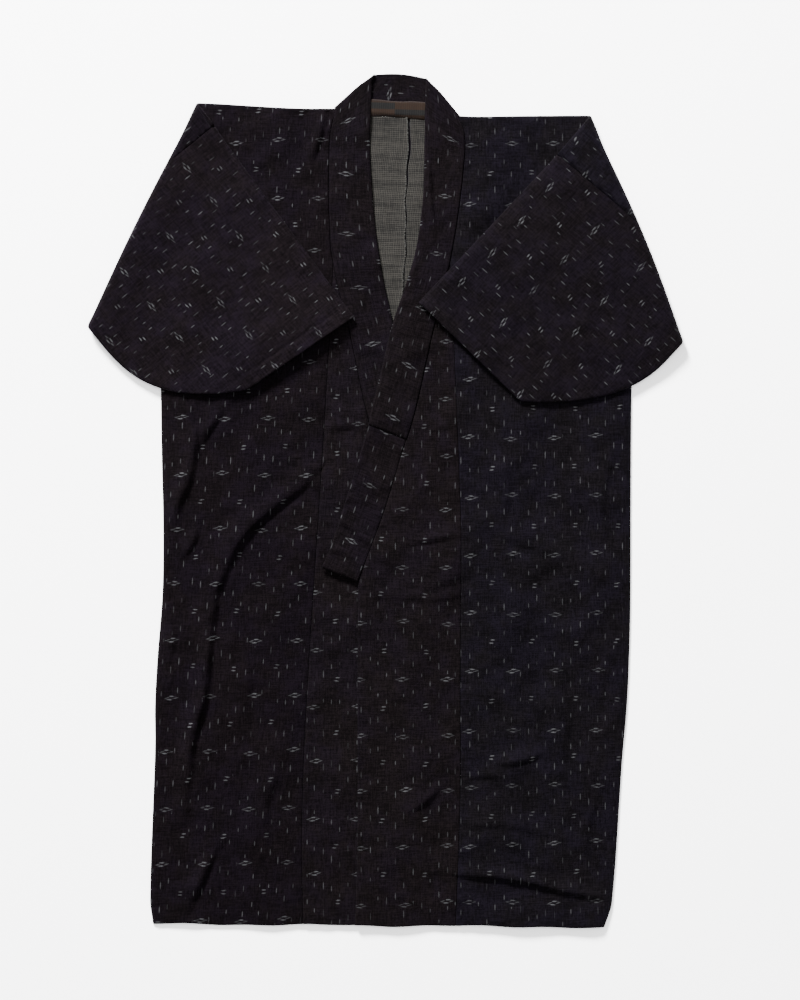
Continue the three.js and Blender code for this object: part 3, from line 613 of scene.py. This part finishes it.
def kasuri(name, column, row, across_step, down_step, seed, tone):
    """Dark indigo cotton with small resist-dyed marks, left pale by tying the yarn before dyeing."""
    recipe = Recipe(name)
    across, down = recipe.across_and_down()
    thread = (down / YARN_PITCH).floor()
    ragged = recipe.chances(thread, seed)[0] - 0.5
    marks = None
    clear = None
    for strokes, shift, salt in ((BIG_STROKES, 0, 3), (SMALL_STROKES, 0.5, 41)):
        at_across = (across - column) / across_step + (0.5 - shift)
        at_down = (down - row) / down_step + (0.5 - shift)
        i, j = at_across.floor(), at_down.floor()
        chances = recipe.chances(i + (seed + salt), j + salt)
        off_across = (at_across - i - 0.5) * across_step + (chances[0] - 0.5) * 4.5 + ragged * 2.6
        off_down = (at_down - j - 0.5) * down_step + (chances[1] - 0.5) * 5.5
        off_down = off_down + off_across * (chances[2] - 0.4) * 0.14
        apart = ((off_across / 11) ** 2 + (off_down / 7) ** 2).rising(0.75, 1.1)
        clear = apart if clear is None else clear * apart
        ink = None
        for to_side, below, half_length, half_height, slope, strength in strokes:
            aside = off_across - to_side
            spot = (aside / half_length) ** 2 + ((off_down - below - aside * slope) / half_height) ** 2
            stroke = (1 - spot.rising(0.2, 1.35)) * strength
            ink = stroke if ink is None else ink.most(stroke)
        ink = ink * (chances[2] * 0.55 + 0.5)
        marks = ink if marks is None else marks.most(ink)
    pitch = across_step / 5
    at_across = (across - column) / pitch + 0.5
    k = at_across.floor()
    chances = recipe.chances(k + seed, 17.0)
    off_across = (at_across - k - 0.5) * pitch + (chances[0] - 0.5) * 2.2
    period = chances[1] * 7 + 38
    at_down = down / period + chances[2] * 9
    j = at_down.floor()
    chances = recipe.chances(k + (seed + 5), j)
    off_down = (at_down - j - 0.5) * period + (chances[0] - 0.5) * 11
    half_length = chances[1] * 3.0 + 2.6
    spot = (off_across / 0.75) ** 2 + (off_down / half_length) ** 2
    dash = (1 - spot.rising(0.3, 1.25)) * (chances[2] * 0.5 + 0.14) * clear
    marks = marks.most(dash)

    # Uneven handspun yarn both ways, and patches that have faded browner or kept their blue.
    yarn = recipe.noise(across * 0.8, down * 0.05, 2.0)
    weft = recipe.noise(across * 0.045, down * 0.8, 2.0)
    mottle = recipe.noise(across * 0.3, down * 0.3, 3.0, 0.7)
    marks = marks * ((yarn + weft) * 0.9 + 0.1)
    patch = recipe.noise(across * 0.011 + seed, down * 0.009, 3.0, 0.6)
    fade = recipe.noise(across * 0.035, down * 0.03 + seed, 4.0, 0.7)
    hue = ((patch + fade) / 2).rising(0.38, 0.62)
    slub = ((yarn + weft + mottle) / 3 + fade * 0.25).rising(0.5, 0.75)
    worn, kept = [tuple(share * c for share, c in zip(shares, tone)) for shares in (WORN, KEPT)]
    thin, thick = [recipe.mixed(hue, tuple(share * c for c in worn), tuple(share * c for c in kept))
                   for share in SLUB_RANGE]
    colour = recipe.mixed(marks, recipe.mixed(slub, thin, thick), PALE_THREAD)
    turn = 2 * math.pi / WEAVE_PITCH
    weave = (across * turn).sine() * (down * turn).sine()
    crumple = recipe.noise(across * 0.045, down * 0.045, 4.0, 0.55)
    fine = recipe.noise(across * 0.2, down * 0.14, 3.0, 0.6)
    lumps = recipe.raised(crumple + fine * 0.3, 0.0018, 0.7)
    threads = recipe.raised(weave * 0.5 + yarn * 0.6 + weft * 0.6 + mottle * 0.5, 0.0004, 0.5, lumps)
    recipe.fill(recipe.finish, {
        "Base Color": colour, "Roughness": fade * 0.12 + 0.8, "Normal": threads, "Specular IOR Level": 0.03,
        "Sheen Weight": 0.01, "Sheen Roughness": 0.45, "Sheen Tint": (0.75, 0.72, 0.85, 1),
    })
    return recipe.material


BODY_COLUMNS = 60
CENTRE_COLUMNS = 13
ROW_STEP = 3.6
HEM_ROWS = LENGTH - np.array([9, 5, 2.6, 1.2, 0.4, 0])
HEM_DROP, HEM_ROUND = 1.3, 4
SIDE_CLOSES = (298, 330)


def hem_drop(down):
    return HEM_DROP * (1 - rounded(LENGTH - down, HEM_ROUND)[:, None])


def body_panel(half):
    hand = half["hand"]
    armhole_top = out_at(half["side"], 0.0)
    corner = beyond_fold(half, armhole_top, 0)
    lines = np.concatenate([np.linspace(0, FOLD_LENGTH, 14)[1:], np.linspace(FOLD_LENGTH, corner, 7)[1:]])

    def columns(down):
        side = out_at(half["side"], down)
        seam_down = np.maximum(down, NECK_POINT_DOWN)
        by_collar = down < TIP_DOWN
        seam = np.where(by_collar, out_at(half["collar_seam"], seam_down), out_at(half["okumi_seam"], down))
        inner = seam + np.where(by_collar, 2 * SEAM_GAP, SEAM_GAP) - 6 * (1 - rising(down, 4, 14))
        axis = np.minimum(fold_line_out(half, down, 0), side)
        shares = graded(axis - inner, BODY_COLUMNS)
        flat = inner[:, None] + (axis - inner)[:, None] * shares
        folded = np.stack([np.minimum(fold_line_out(half, down, beyond), side) for beyond in lines], axis=1)
        return np.concatenate([flat, folded], axis=1)

    def edge_distances(outs, down):
        return outs - outs[:, :1], out_at(half["side"], down)[:, None] - outs

    def front_points(outs, down):
        places = laid_down(hand * outs, down[:, None])
        low = front_low(half, hand * outs, places)
        from_seam, from_side = edge_distances(outs, down)
        closing = rising(down, *SIDE_CLOSES)[:, None]
        top = low + WALL + puckered(from_seam, down[:, None]) + puckered(from_side, down[:, None] + 60) * 0.7
        top = top - 0.7 * (1 - rounded(from_seam, 3.2)) - 0.3 * (1 - closing) * (1 - rounded(from_side, 3))
        top = between(top, 1.5 + (top - 1.5) * rounded(from_side, 9), closing)
        return placed(half, outs, places, top - hem_drop(down))

    front_rows = np.concatenate([[4, 7, 11], np.arange(16, LENGTH - 10, ROW_STEP), HEM_ROWS])
    front_columns = columns(front_rows)
    front = front_points(front_columns, front_rows)
    front_cut = cut_place(hand * front_columns, front_rows[:, None] + 0 * front_columns, half["lean"])

    def pressed(beyond, from_top):
        down_to = PRESS_DEPTH * (1 - rounded(from_top, PRESS_REACH))
        return turned_in(beyond) * (down_to + 2.0 * (1 - rounded(from_top, TURNED_ROUND)))

    # The shoulder rolls from the back's level to the front's.
    top_columns = columns(np.array([0.0]))
    roll = []
    for turn in np.linspace(0, math.pi, 9):
        high = front_low(half, hand * top_columns, 0 * top_columns) + WALL
        radius = high / 2
        level = radius - radius * math.cos(turn)
        row = placed(half, top_columns, radius - radius * math.sin(turn), level)[0]
        row[:, 2] -= pressed(beyond_fold(half, top_columns[0], 0), 3.0)
        roll.append(row)
    roll = np.array(roll)
    roll_cut = np.stack([cut_place(hand * top_columns[0], 0 * top_columns[0] + v, half["lean"])
                         for v in np.linspace(-4, 2, 9)])

    back_rows = np.concatenate([
        [7, 13], np.arange(18, 172, 4.5), np.arange(180, LENGTH - 10, 20.0),
        [LENGTH - 5, LENGTH - 1.2, LENGTH],
    ])
    back_columns = columns(back_rows)

    def with_centre(outs):
        shares = np.linspace(0, 1, CENTRE_COLUMNS + 1)[:-1]
        return np.concatenate([SEAM_GAP / 2 + (outs[:, :1] - SEAM_GAP / 2) * shares, outs], axis=1)

    whole = with_centre(back_columns)
    back_places = laid_down(hand * whole, back_rows[:, None])
    from_side = out_at(half["side"], back_rows)[:, None] - whole
    closing = rising(back_rows, *SIDE_CLOSES)[:, None]
    level = 1.5 * closing * (1 - rounded(from_side, 9)) + 0.1 * (1 - closing) * (1 - rounded(from_side, 3))
    back = placed(half, whole, back_places, level)
    back[..., 2] -= pressed(beyond_fold(half, whole, back_places), np.maximum(back_places, 0))
    neck = with_centre(top_columns)
    neck_x = hand * neck[0, :CENTRE_COLUMNS]
    neck_y = band_seam_y(neck_x) - SEAM_GAP
    neck_row = np.stack([neck_x, neck_y, 0 * neck_y], axis=-1)
    back = np.concatenate([[np.concatenate([neck_row, roll[0]])], back])
    cut_rows = np.concatenate([[4.0], back_rows])
    whole = np.concatenate([neck, whole])
    back_cut = cut_place(hand * whole, -cut_rows[:, None] + 0 * whole)
    back_cut[0, CENTRE_COLUMNS:] = roll_cut[0]
    left = hand < 0
    return sewn(f"{half['name']}_body", [
        (front, front_cut, not left),
        (np.concatenate([roll, front[:1]]), np.concatenate([roll_cut, front_cut[:1]]), not left),
        (back, back_cut, left),
    ])


BAND_SEAM = {"left": (-93.5, 0.5), "right": (70, -5.5)}
BAND_EDGE = {"left": (-43.5, 48.8), "right": (25, 46)}
BAND_CROWN = 3.5


def band_seam_y(x):
    (x0, y0), (x1, y1) = BAND_SEAM["left"], BAND_SEAM["right"]
    return between(y0, y1, np.clip((x - x0) / (x1 - x0), 0, 1)) - 2 * SEAM_GAP


BODY_MARKS = {"left": (-320.5, 628.0, 55.4, 73.6), "right": (84.5, 666.3, 56.5, 77.9)}
# The left body's tone is set darker than the right's and the overlaps' partly as painted shade, standing in
# for the shade that falls along its creased front; its browner hue is the cloth's own.
BODY_TONES_WITH_PAINTED_SHADE = {"left": (0.0048, 0.0033, 0.0047), "right": (0.0052, 0.0042, 0.0061)}

for half, seed in ((LEFT, 2.0), (RIGHT, 9.0)):
    name = half["name"]
    body = body_panel(half)
    body.data.materials.append(
        kasuri(f"indigo_kasuri_{name}_body", *BODY_MARKS[name], seed, BODY_TONES_WITH_PAINTED_SHADE[name]))
    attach(body, "root")
    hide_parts(f"body_{name}")


# The overlap panels: wedge-topped strips of the same cotton, sewn to the fronts' inner edges. The
# right one lies on top, and its free edge is a turned hem.
def overlap_panel(half):
    hand = half["hand"]
    first = TIP_DOWN + 4
    rows = np.concatenate([[first], np.arange(first + 5, LENGTH - 10, ROW_STEP), HEM_ROWS])
    free = rising(rows, COLLAR_END_DOWN - 2, COLLAR_END_DOWN + 2)
    inner = between(out_at(half["collar_seam"], rows) + SEAM_GAP, out_at(half["okumi_edge"], rows), free)
    outer = out_at(half["okumi_seam"], rows)
    shares = graded(outer - inner, 40)
    outs = inner[:, None] + (outer - inner)[:, None] * shares
    places = laid_down(hand * outs, rows[:, None])
    from_inner, from_outer = outs - inner[:, None], outer[:, None] - outs
    top = front_low(half, hand * outs, places) + WALL
    top = top + puckered(from_inner, rows[:, None] + 30) + puckered(from_outer, rows[:, None])
    top = top - 1.0 * (1 - rounded(from_inner, 3.4)) - 0.8 * (1 - rounded(from_outer, 3.2))
    points = np.stack([hand * outs, -places, top - hem_drop(rows)], axis=-1)
    cut = cut_place(hand * outs, rows[:, None] + 0 * outs)
    return sewn(f"{half['name']}_overlap", [(points, cut, hand > 0)])


OVERLAP_MARKS = {"left": (-121, 640.0, 56.0, 74.5), "right": (-59.8, 679.6, 57.0, 74.8)}
OVERLAP_TONE = (0.0058, 0.0042, 0.0054)

for half, seed, lies_on in ((LEFT, 14.0, "right_body"), (RIGHT, 23.0, "left_overlap")):
    name = half["name"]
    overlap = overlap_panel(half)
    overlap.data.materials.append(
        kasuri(f"indigo_kasuri_{name}_overlap", *OVERLAP_MARKS[name], seed, OVERLAP_TONE))
    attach(overlap, "root")
    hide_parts(f"okumi_{name}")


# The sleeves: each one piece of cotton folded along the top and sewn along the curved bottom, so a
# flat tube, open at the armhole and the cuff. It is folded in over the front.
CUFF_HEM = 19


def sleeve_tube(half):
    hand = half["hand"]
    shape = half["sleeve"]
    depth, curve, bend = shape["depth"], shape["curve"], shape["bend"]
    (top_out, top_down), (low_out, low_down) = shape["cuff_top"], shape["cuff_low"]
    armhole = float(out_at(half["side"], 0.0)) + SEAM_GAP

    def top_edge(out):
        return top_down * (out - armhole) / (top_out - armhole)

    def bottom_edge(out):
        share = np.clip((out - (low_out - curve)) / curve, 0, 1)
        return depth - (depth - low_down) * share ** bend

    def cuff_edge(down):
        return between(top_out, low_out, (down - top_down) / (low_down - top_down))

    start = beyond_fold(half, armhole, depth)
    farthest = beyond_fold(half, top_out, top_down)
    lines = np.concatenate([
        start + np.array([0.2, 1.5, 3.5]), np.arange(start + 7, -4, 5.0), np.linspace(0, FOLD_LENGTH, 14),
        np.arange(FOLD_LENGTH + 4, farthest - 5, ROW_STEP), farthest - np.array([2.5, 1, 0.2]),
    ])
    tried = np.linspace(-30, depth + 30, 9001)
    spans = []
    for beyond in lines:
        outs = fold_line_out(half, tried, beyond)
        held = (tried >= top_edge(outs)) & (tried <= bottom_edge(outs)) & (outs >= armhole)
        held &= outs <= cuff_edge(tried)
        found = tried[held] if held.any() else tried[:1]
        spans.append((found[0], found[-1]))
    spans = np.array(spans)
    length = np.maximum(spans[:, 1] - spans[:, 0], 0.05)
    shares = graded(length, 76)
    downs = spans[:, :1] + length[:, None] * shares
    outs = fold_line_out(half, downs, lines[:, None])
    lean = (depth - low_down) * bend / curve * np.clip((outs - (low_out - curve)) / curve, 0, 1) ** (bend - 1)
    from_bottom = np.maximum(bottom_edge(outs) - downs, 0) / np.sqrt(1 + lean ** 2)
    from_top = np.maximum(downs - top_edge(outs), 0)
    from_armhole = np.maximum(outs - armhole, 0)
    from_cuff = np.maximum(cuff_edge(downs) - outs, 0)
    turned = turned_in(lines)[:, None]
    top_round = between(TUBE_ROUND, TURNED_ROUND, turned)
    closed = np.minimum(rounded(from_bottom, TUBE_ROUND), rounded(from_top, top_round))
    closed = np.where(np.minimum(from_bottom, from_top) < 0.06, 0, closed)
    groove = 0.3 * (1 - rounded(from_armhole, 3)) + 0.9 * (1 - rounded(from_cuff, 2.6))
    groove = groove + 1.1 * np.exp(-(((from_cuff - CUFF_HEM) / 2.2) ** 2))
    gather = puckered(from_bottom, outs, 9, 0.5) + puckered(np.abs(from_cuff - CUFF_HEM), downs, 7, 0.35)
    pressed = PRESS_DEPTH * turned * (1 - rounded(from_top, PRESS_REACH))
    half_stack = TUBE_STACK / 2
    faces = []
    for side in (1, -1):
        level = half_stack + side * closed * (half_stack - groove + gather * rounded(from_cuff, 5))
        points = placed(half, outs, downs, level)
        points[..., 2] -= pressed
        cut = np.stack([hand * outs, downs * side], axis=-1)
        faces.append((points, cut, hand * side < 0))
    return sewn(f"{half['name']}_sleeve", faces)


SLEEVE_TONES = {"left": (0.0061, 0.0043, 0.0061), "right": (0.0054, 0.0040, 0.0057)}
SLEEVE_MARKS = {"left": (-560.5, -64.2, 55.8, 74.5), "right": (467.6, -101.9, 57.2, 77.0)}

for half, seed in ((LEFT, 31.0), (RIGHT, 47.0)):
    name = half["name"]
    sleeve = sleeve_tube(half)
    sleeve.data.materials.append(
        kasuri(f"indigo_kasuri_{name}_sleeve", *SLEEVE_MARKS[name], seed, SLEEVE_TONES[name]))
    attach(sleeve, "root")
    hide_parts(f"sleeve_{name}")


# The collar and over-collar: long folded bands of the same cotton, from the hidden end up the left
# front, over a slanting fold, along the back neck, over a second fold and down the right front. The
# over-collar covers the upper part, where the neck wears the cloth.
BAND_WIDTH = 48.0
COLLAR_SKEW = 18
COLLAR_TURN_DOWN = 64
BAND_FOLD_HEIGHT = COLLAR_STACK + SEAM_GAP / 2


def collar_band(name, from_down, rise, thickness):
    across = graded(np.array([BAND_WIDTH]), 20, (0, 0.5, 1.3, 2.8, 5))[0]
    sections, lengths = [], []

    def edge_drop(width):
        from_seam, from_edge = across * width, (1 - across) * width
        return 0.8 * (1 - rounded(from_seam, 3.4)) + (rise - 0.2) * 0.75 * (1 - rounded(from_edge, 4.2))

    def front_rows(half):
        straight = np.linspace(from_down, COLLAR_TURN_DOWN, int((from_down - COLLAR_TURN_DOWN) / ROW_STEP))
        skew = COLLAR_SKEW * rising(straight, 150, 350)
        seam_top, edge_top = -BAND_SEAM[half["name"]][1], -BAND_EDGE[half["name"]][1]
        turned = np.linspace(0, 1, 16)[1:-1]
        seam_down = np.concatenate([straight, between(COLLAR_TURN_DOWN, seam_top, turned)])
        edge_down = np.concatenate([straight - skew, between(COLLAR_TURN_DOWN, edge_top, turned)])
        seam = np.stack([half["hand"] * out_at(half["collar_seam"], seam_down), -seam_down], axis=-1)
        edge = np.stack([half["hand"] * out_at(half["collar_edge"], edge_down), -edge_down], axis=-1)
        at = seam[:, None] + (edge - seam)[:, None] * across[None, :, None]
        width = np.linalg.norm(edge - seam, axis=1)
        on_back = rising(at[..., 1], -10, 6)
        low = between(front_low(half, at[..., 0], -at[..., 1]), COLLAR_STACK + SEAM_GAP, on_back)
        lift = rise - np.array([edge_drop(w) for w in width])
        beside = np.minimum(across[None] * width[:, None], (1 - across[None]) * width[:, None])
        lift = lift + puckered(beside, 13 - at[..., 1], 12, 0.4)
        lift = lift + 0.35 * np.sin(at[..., 1] / 9 + 3 * np.sin(at[..., 1] / 50)) * rising(beside, 3, 14)
        end = 1 - rounded(seam_down[0] - seam_down, 3)[:, None]
        lift = lift - 0.9 * end
        if half is RIGHT:
            lift = lift + 1.8 * rising(seam_down, 588, COLLAR_END_DOWN)[:, None]
        return np.concatenate([at, (low + lift)[..., None]], axis=-1)

    def fold_rows(half):
        seam, edge = np.array(BAND_SEAM[half["name"]], float), np.array(BAND_EDGE[half["name"]], float)
        away = np.array([seam[1] - edge[1], edge[0] - seam[0]])
        away = away / np.linalg.norm(away) * -half["hand"]
        rows = []
        for turn in np.linspace(0, math.pi, 12):
            radius = SEAM_GAP / 2 + rise - edge_drop(np.linalg.norm(edge - seam)) * 0.5
            bulge = radius * math.sin(turn) * (1 - 0.8 * rising(across, 0.55, 1))
            at = seam + (edge - seam) * across[:, None] + away * bulge[:, None]
            rows.append(np.column_stack([at, BAND_FOLD_HEIGHT + radius * math.cos(turn)]))
        return np.array(rows)

    def back_rows():
        rows = []
        for t in np.linspace(0, 1, 26)[1:-1]:
            seam = between(np.array(BAND_SEAM["left"], float), np.array(BAND_SEAM["right"], float), t)
            edge = between(np.array(BAND_EDGE["left"], float), np.array(BAND_EDGE["right"], float), t)
            edge[1] += BAND_CROWN * math.sin(math.pi * t)
            at = seam + (edge - seam) * across[:, None]
            wrinkle = 0.45 * math.sin(t * 31) + 0.3 * math.sin(t * 57 + 1)
            level = COLLAR_STACK - rise + edge_drop(BAND_WIDTH) * 0.5 + wrinkle * math.sin(math.pi * t) * 0.5
            rows.append(np.column_stack([at, level]))
        return np.array(rows)

    parts = [front_rows(LEFT), fold_rows(LEFT), back_rows(), fold_rows(RIGHT)[::-1], front_rows(RIGHT)[::-1]]
    points = np.concatenate(parts)
    middle = points[:, len(across) // 2]
    along = np.concatenate([[0], np.cumsum(np.linalg.norm(np.diff(middle, axis=0), axis=1))])
    cut = np.stack(np.broadcast_arrays(across[None] * BAND_WIDTH, along[:, None]), axis=-1)
    return sewn(name, [(points, cut, False)], thickness)


COLLAR_TONE = (0.0052, 0.0037, 0.0050)
collar = collar_band("collar_band", COLLAR_END_DOWN + 3.5, 2.2, 1.3)
over_collar = collar_band("over_collar_band", 436, 3.3, 0.8)
for band, node, length, seed, marks in (
    (collar, "collar", 1.5, 61.0, (24.0, 30.0, 56.5, 76.0)),
    (over_collar, "over_collar", 1.12, 73.0, (20.0, 44.0, 56.5, 76.0)),
):
    band.data.materials.append(kasuri(f"indigo_kasuri_{node}", *marks, seed, COLLAR_TONE))
    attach(band, "root")
    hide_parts(node)


# The inside of the back neck: a fine checked cotton lining in two widths, joined by a rough seam
# whose raw edge frays white, and a brown striped strip that covers its top.
LINING_TUCK = 12
LINING_SEAM_X = 4
LINING_DOWN = 330
STRIP_TOP = 14
STRIP_BOTTOM = -7.5


def seam_wander(down):
    drift = 1.1 * np.sin(down / 23) + 0.7 * np.sin(down / 7.3 + 1)
    return drift * rising(down, 5, 30) + 1.2 * rising(down, 0, 40)


def lining_width(half):
    hand = half["hand"]
    rows = np.concatenate([[5.3], np.arange(9, LINING_DOWN, 3.0), [LINING_DOWN]])
    gap = 1.3 + 1.5 * (1 - rising(rows, 40, 130)) + 0.5 * np.sin(rows / 5.1) * np.sin(rows / 19)
    seam = LINING_SEAM_X + seam_wander(rows) + hand * gap / 2
    outer = hand * (out_at(half["collar_seam"], rows) - LINING_TUCK)
    shares = graded(np.abs(outer - seam), 16, (0, 0.5, 1.2, 2.4, 4))
    x = seam[:, None] + (outer - seam)[:, None] * shares
    from_seam = np.abs(x - seam[:, None])
    level = WALL + SEAM_GAP + LINING + 0.25 * np.sin(x / 6 + rows[:, None] / 21)
    level = level + 0.9 * np.exp(-((from_seam - 1.6) / 1.6) ** 2) * (hand < 0)
    level = level - 0.5 * (1 - rounded(from_seam, 1.5))
    points = np.stack([x, -rows[:, None] + 0 * x, level], axis=-1)
    cut = np.stack(np.broadcast_arrays(from_seam, rows[:, None]), axis=-1)
    return sewn(f"{half['name']}_lining", [(points, cut, hand > 0)], 0.7)


def check_lining(name, frayed):
    recipe = Recipe(name)
    across, down = recipe.across_and_down()
    wander = recipe.noise(across * 0.02, down * 0.05, 2.0)
    cell = 2 * math.pi / 2.35
    warp = (across * cell + wander * 3).sine().rising(-0.5, 0.7)
    weft = (down * cell * 0.92 + wander * 2).sine().rising(-0.6, 0.6)
    bands = recipe.noise(across * 0.01, down * 0.14, 3.0, 0.7).rising(0.35, 0.65)
    slub = recipe.noise(across * 0.12, down * 0.9, 2.0)
    yarn = recipe.noise(across * 0.7, down * 0.06, 2.0)
    light = warp * (yarn * 0.7 + 0.05) + weft * (slub * 0.7 + 0.05) + (slub + yarn) * 0.22
    light = light * (bands * 0.45 + 0.66)
    colour = recipe.mixed(light.rising(0.2, 0.9), (0.0046, 0.0043, 0.0041), (0.040, 0.037, 0.032))
    if frayed:
        rough = recipe.noise(across * 0.6, down * 0.55, 2.0)
        fringe = (1 - across.rising(0.3, 2.4)) * rough.rising(0.46, 0.58)
        colour = recipe.mixed(fringe, colour, (0.115, 0.113, 0.106))
    thread = 2 * math.pi / 0.78
    weave = (across * thread).sine() * (down * thread).sine()
    normal = recipe.raised(weave * 0.6 + slub * 0.8, 0.0002, 0.5)
    recipe.fill(recipe.finish, {
        "Base Color": colour, "Roughness": 0.9, "Normal": normal, "Specular IOR Level": 0.2,
        "Sheen Weight": 0.1,
    })
    return recipe.material


for half, frayed, area in ((LEFT, True, 0.0262), (RIGHT, False, 0.0157)):
    name = half["name"]
    lining = lining_width(half)
    lining.data.materials.append(check_lining(f"check_lining_{name}", frayed))
    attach(lining, "root")
    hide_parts(f"lining_{name}")


def neck_strip():
    low = WALL + SEAM_GAP + LINING
    on_band = COLLAR_STACK + SEAM_GAP + LINING
    ends = (-3 - float(out_at(LEFT["collar_edge"], 0.0)), float(out_at(RIGHT["collar_edge"], 0.0)) + 3)
    x = np.linspace(*ends, 34)
    step = band_seam_y(x)
    tucked = 1 - rising(np.minimum(x - ends[0], ends[1] - x), 2, 6)
    rows = []
    for share in np.linspace(0, 1, 14):
        bottom = STRIP_BOTTOM - 0.8 * np.sin(x / 13) - x / 50
        top = STRIP_TOP + 0.7 * np.sin(x / 9) - x / 50
        y = between(bottom, top, share)
        level = between(low, on_band, rising(y, step - 3, step + 0.5))
        level = level + 0.18 * np.sin(x / 3.1) - 0.5 * tucked
        level = level - 0.5 * (1 - rounded(np.minimum(share, 1 - share) * 19 + 0 * x, 2))
        rows.append(np.column_stack([x, y, level]))
    points = np.array(rows)
    cut = np.stack([points[..., 0], STRIP_TOP - points[..., 1]], axis=-1)
    return sewn("striped_neck_strip", [(points, cut, True)], 0.8)


def striped_brown(name):
    recipe = Recipe(name)
    across, down = recipe.across_and_down()
    second = across.rising(-15.5, -14.5)
    ribs = (across * (2 * math.pi / 2.9)).sine().rising(0.0, 0.95)
    middle = down.rising(10.2, 11.2)
    low_edge = down.rising(17.2, 18.2)
    ribbed = down.rising(1.8, 2.8) * (1 - middle) * (1 - second) + middle * (1 - low_edge) * second
    edge = (1 - down.rising(0.9, 1.8)).most(low_edge * (1 - second))
    dark = recipe.mixed(ribs, (0.0018, 0.0019, 0.0022), (0.0080, 0.0074, 0.0070))
    tan = recipe.mixed(ribs * 0.4 + 0.2, (0.0130, 0.0052, 0.0020), (0.0225, 0.0108, 0.0046))
    colour = recipe.mixed(ribbed, tan, dark)
    colour = recipe.mixed(edge * 0.75, colour, (0.0085, 0.0032, 0.0026))
    fade = recipe.noise(across * 0.3, down * 0.5, 3.0)
    colour = recipe.mixed(fade.rising(0.3, 0.8) * 0.35, colour, (0.010, 0.0080, 0.0065))
    thread = 2 * math.pi / 0.8
    normal = recipe.raised(ribs * 0.8 + (down * thread).sine() * 0.3, 0.0003, 0.5)
    recipe.fill(recipe.finish, {
        "Base Color": colour, "Roughness": 0.88, "Normal": normal, "Specular IOR Level": 0.2,
        "Sheen Weight": 0.1,
    })
    return recipe.material


strip = neck_strip()
strip.data.materials.append(striped_brown("brown_stripe"))
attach(strip, "root")
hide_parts("neck_strip")
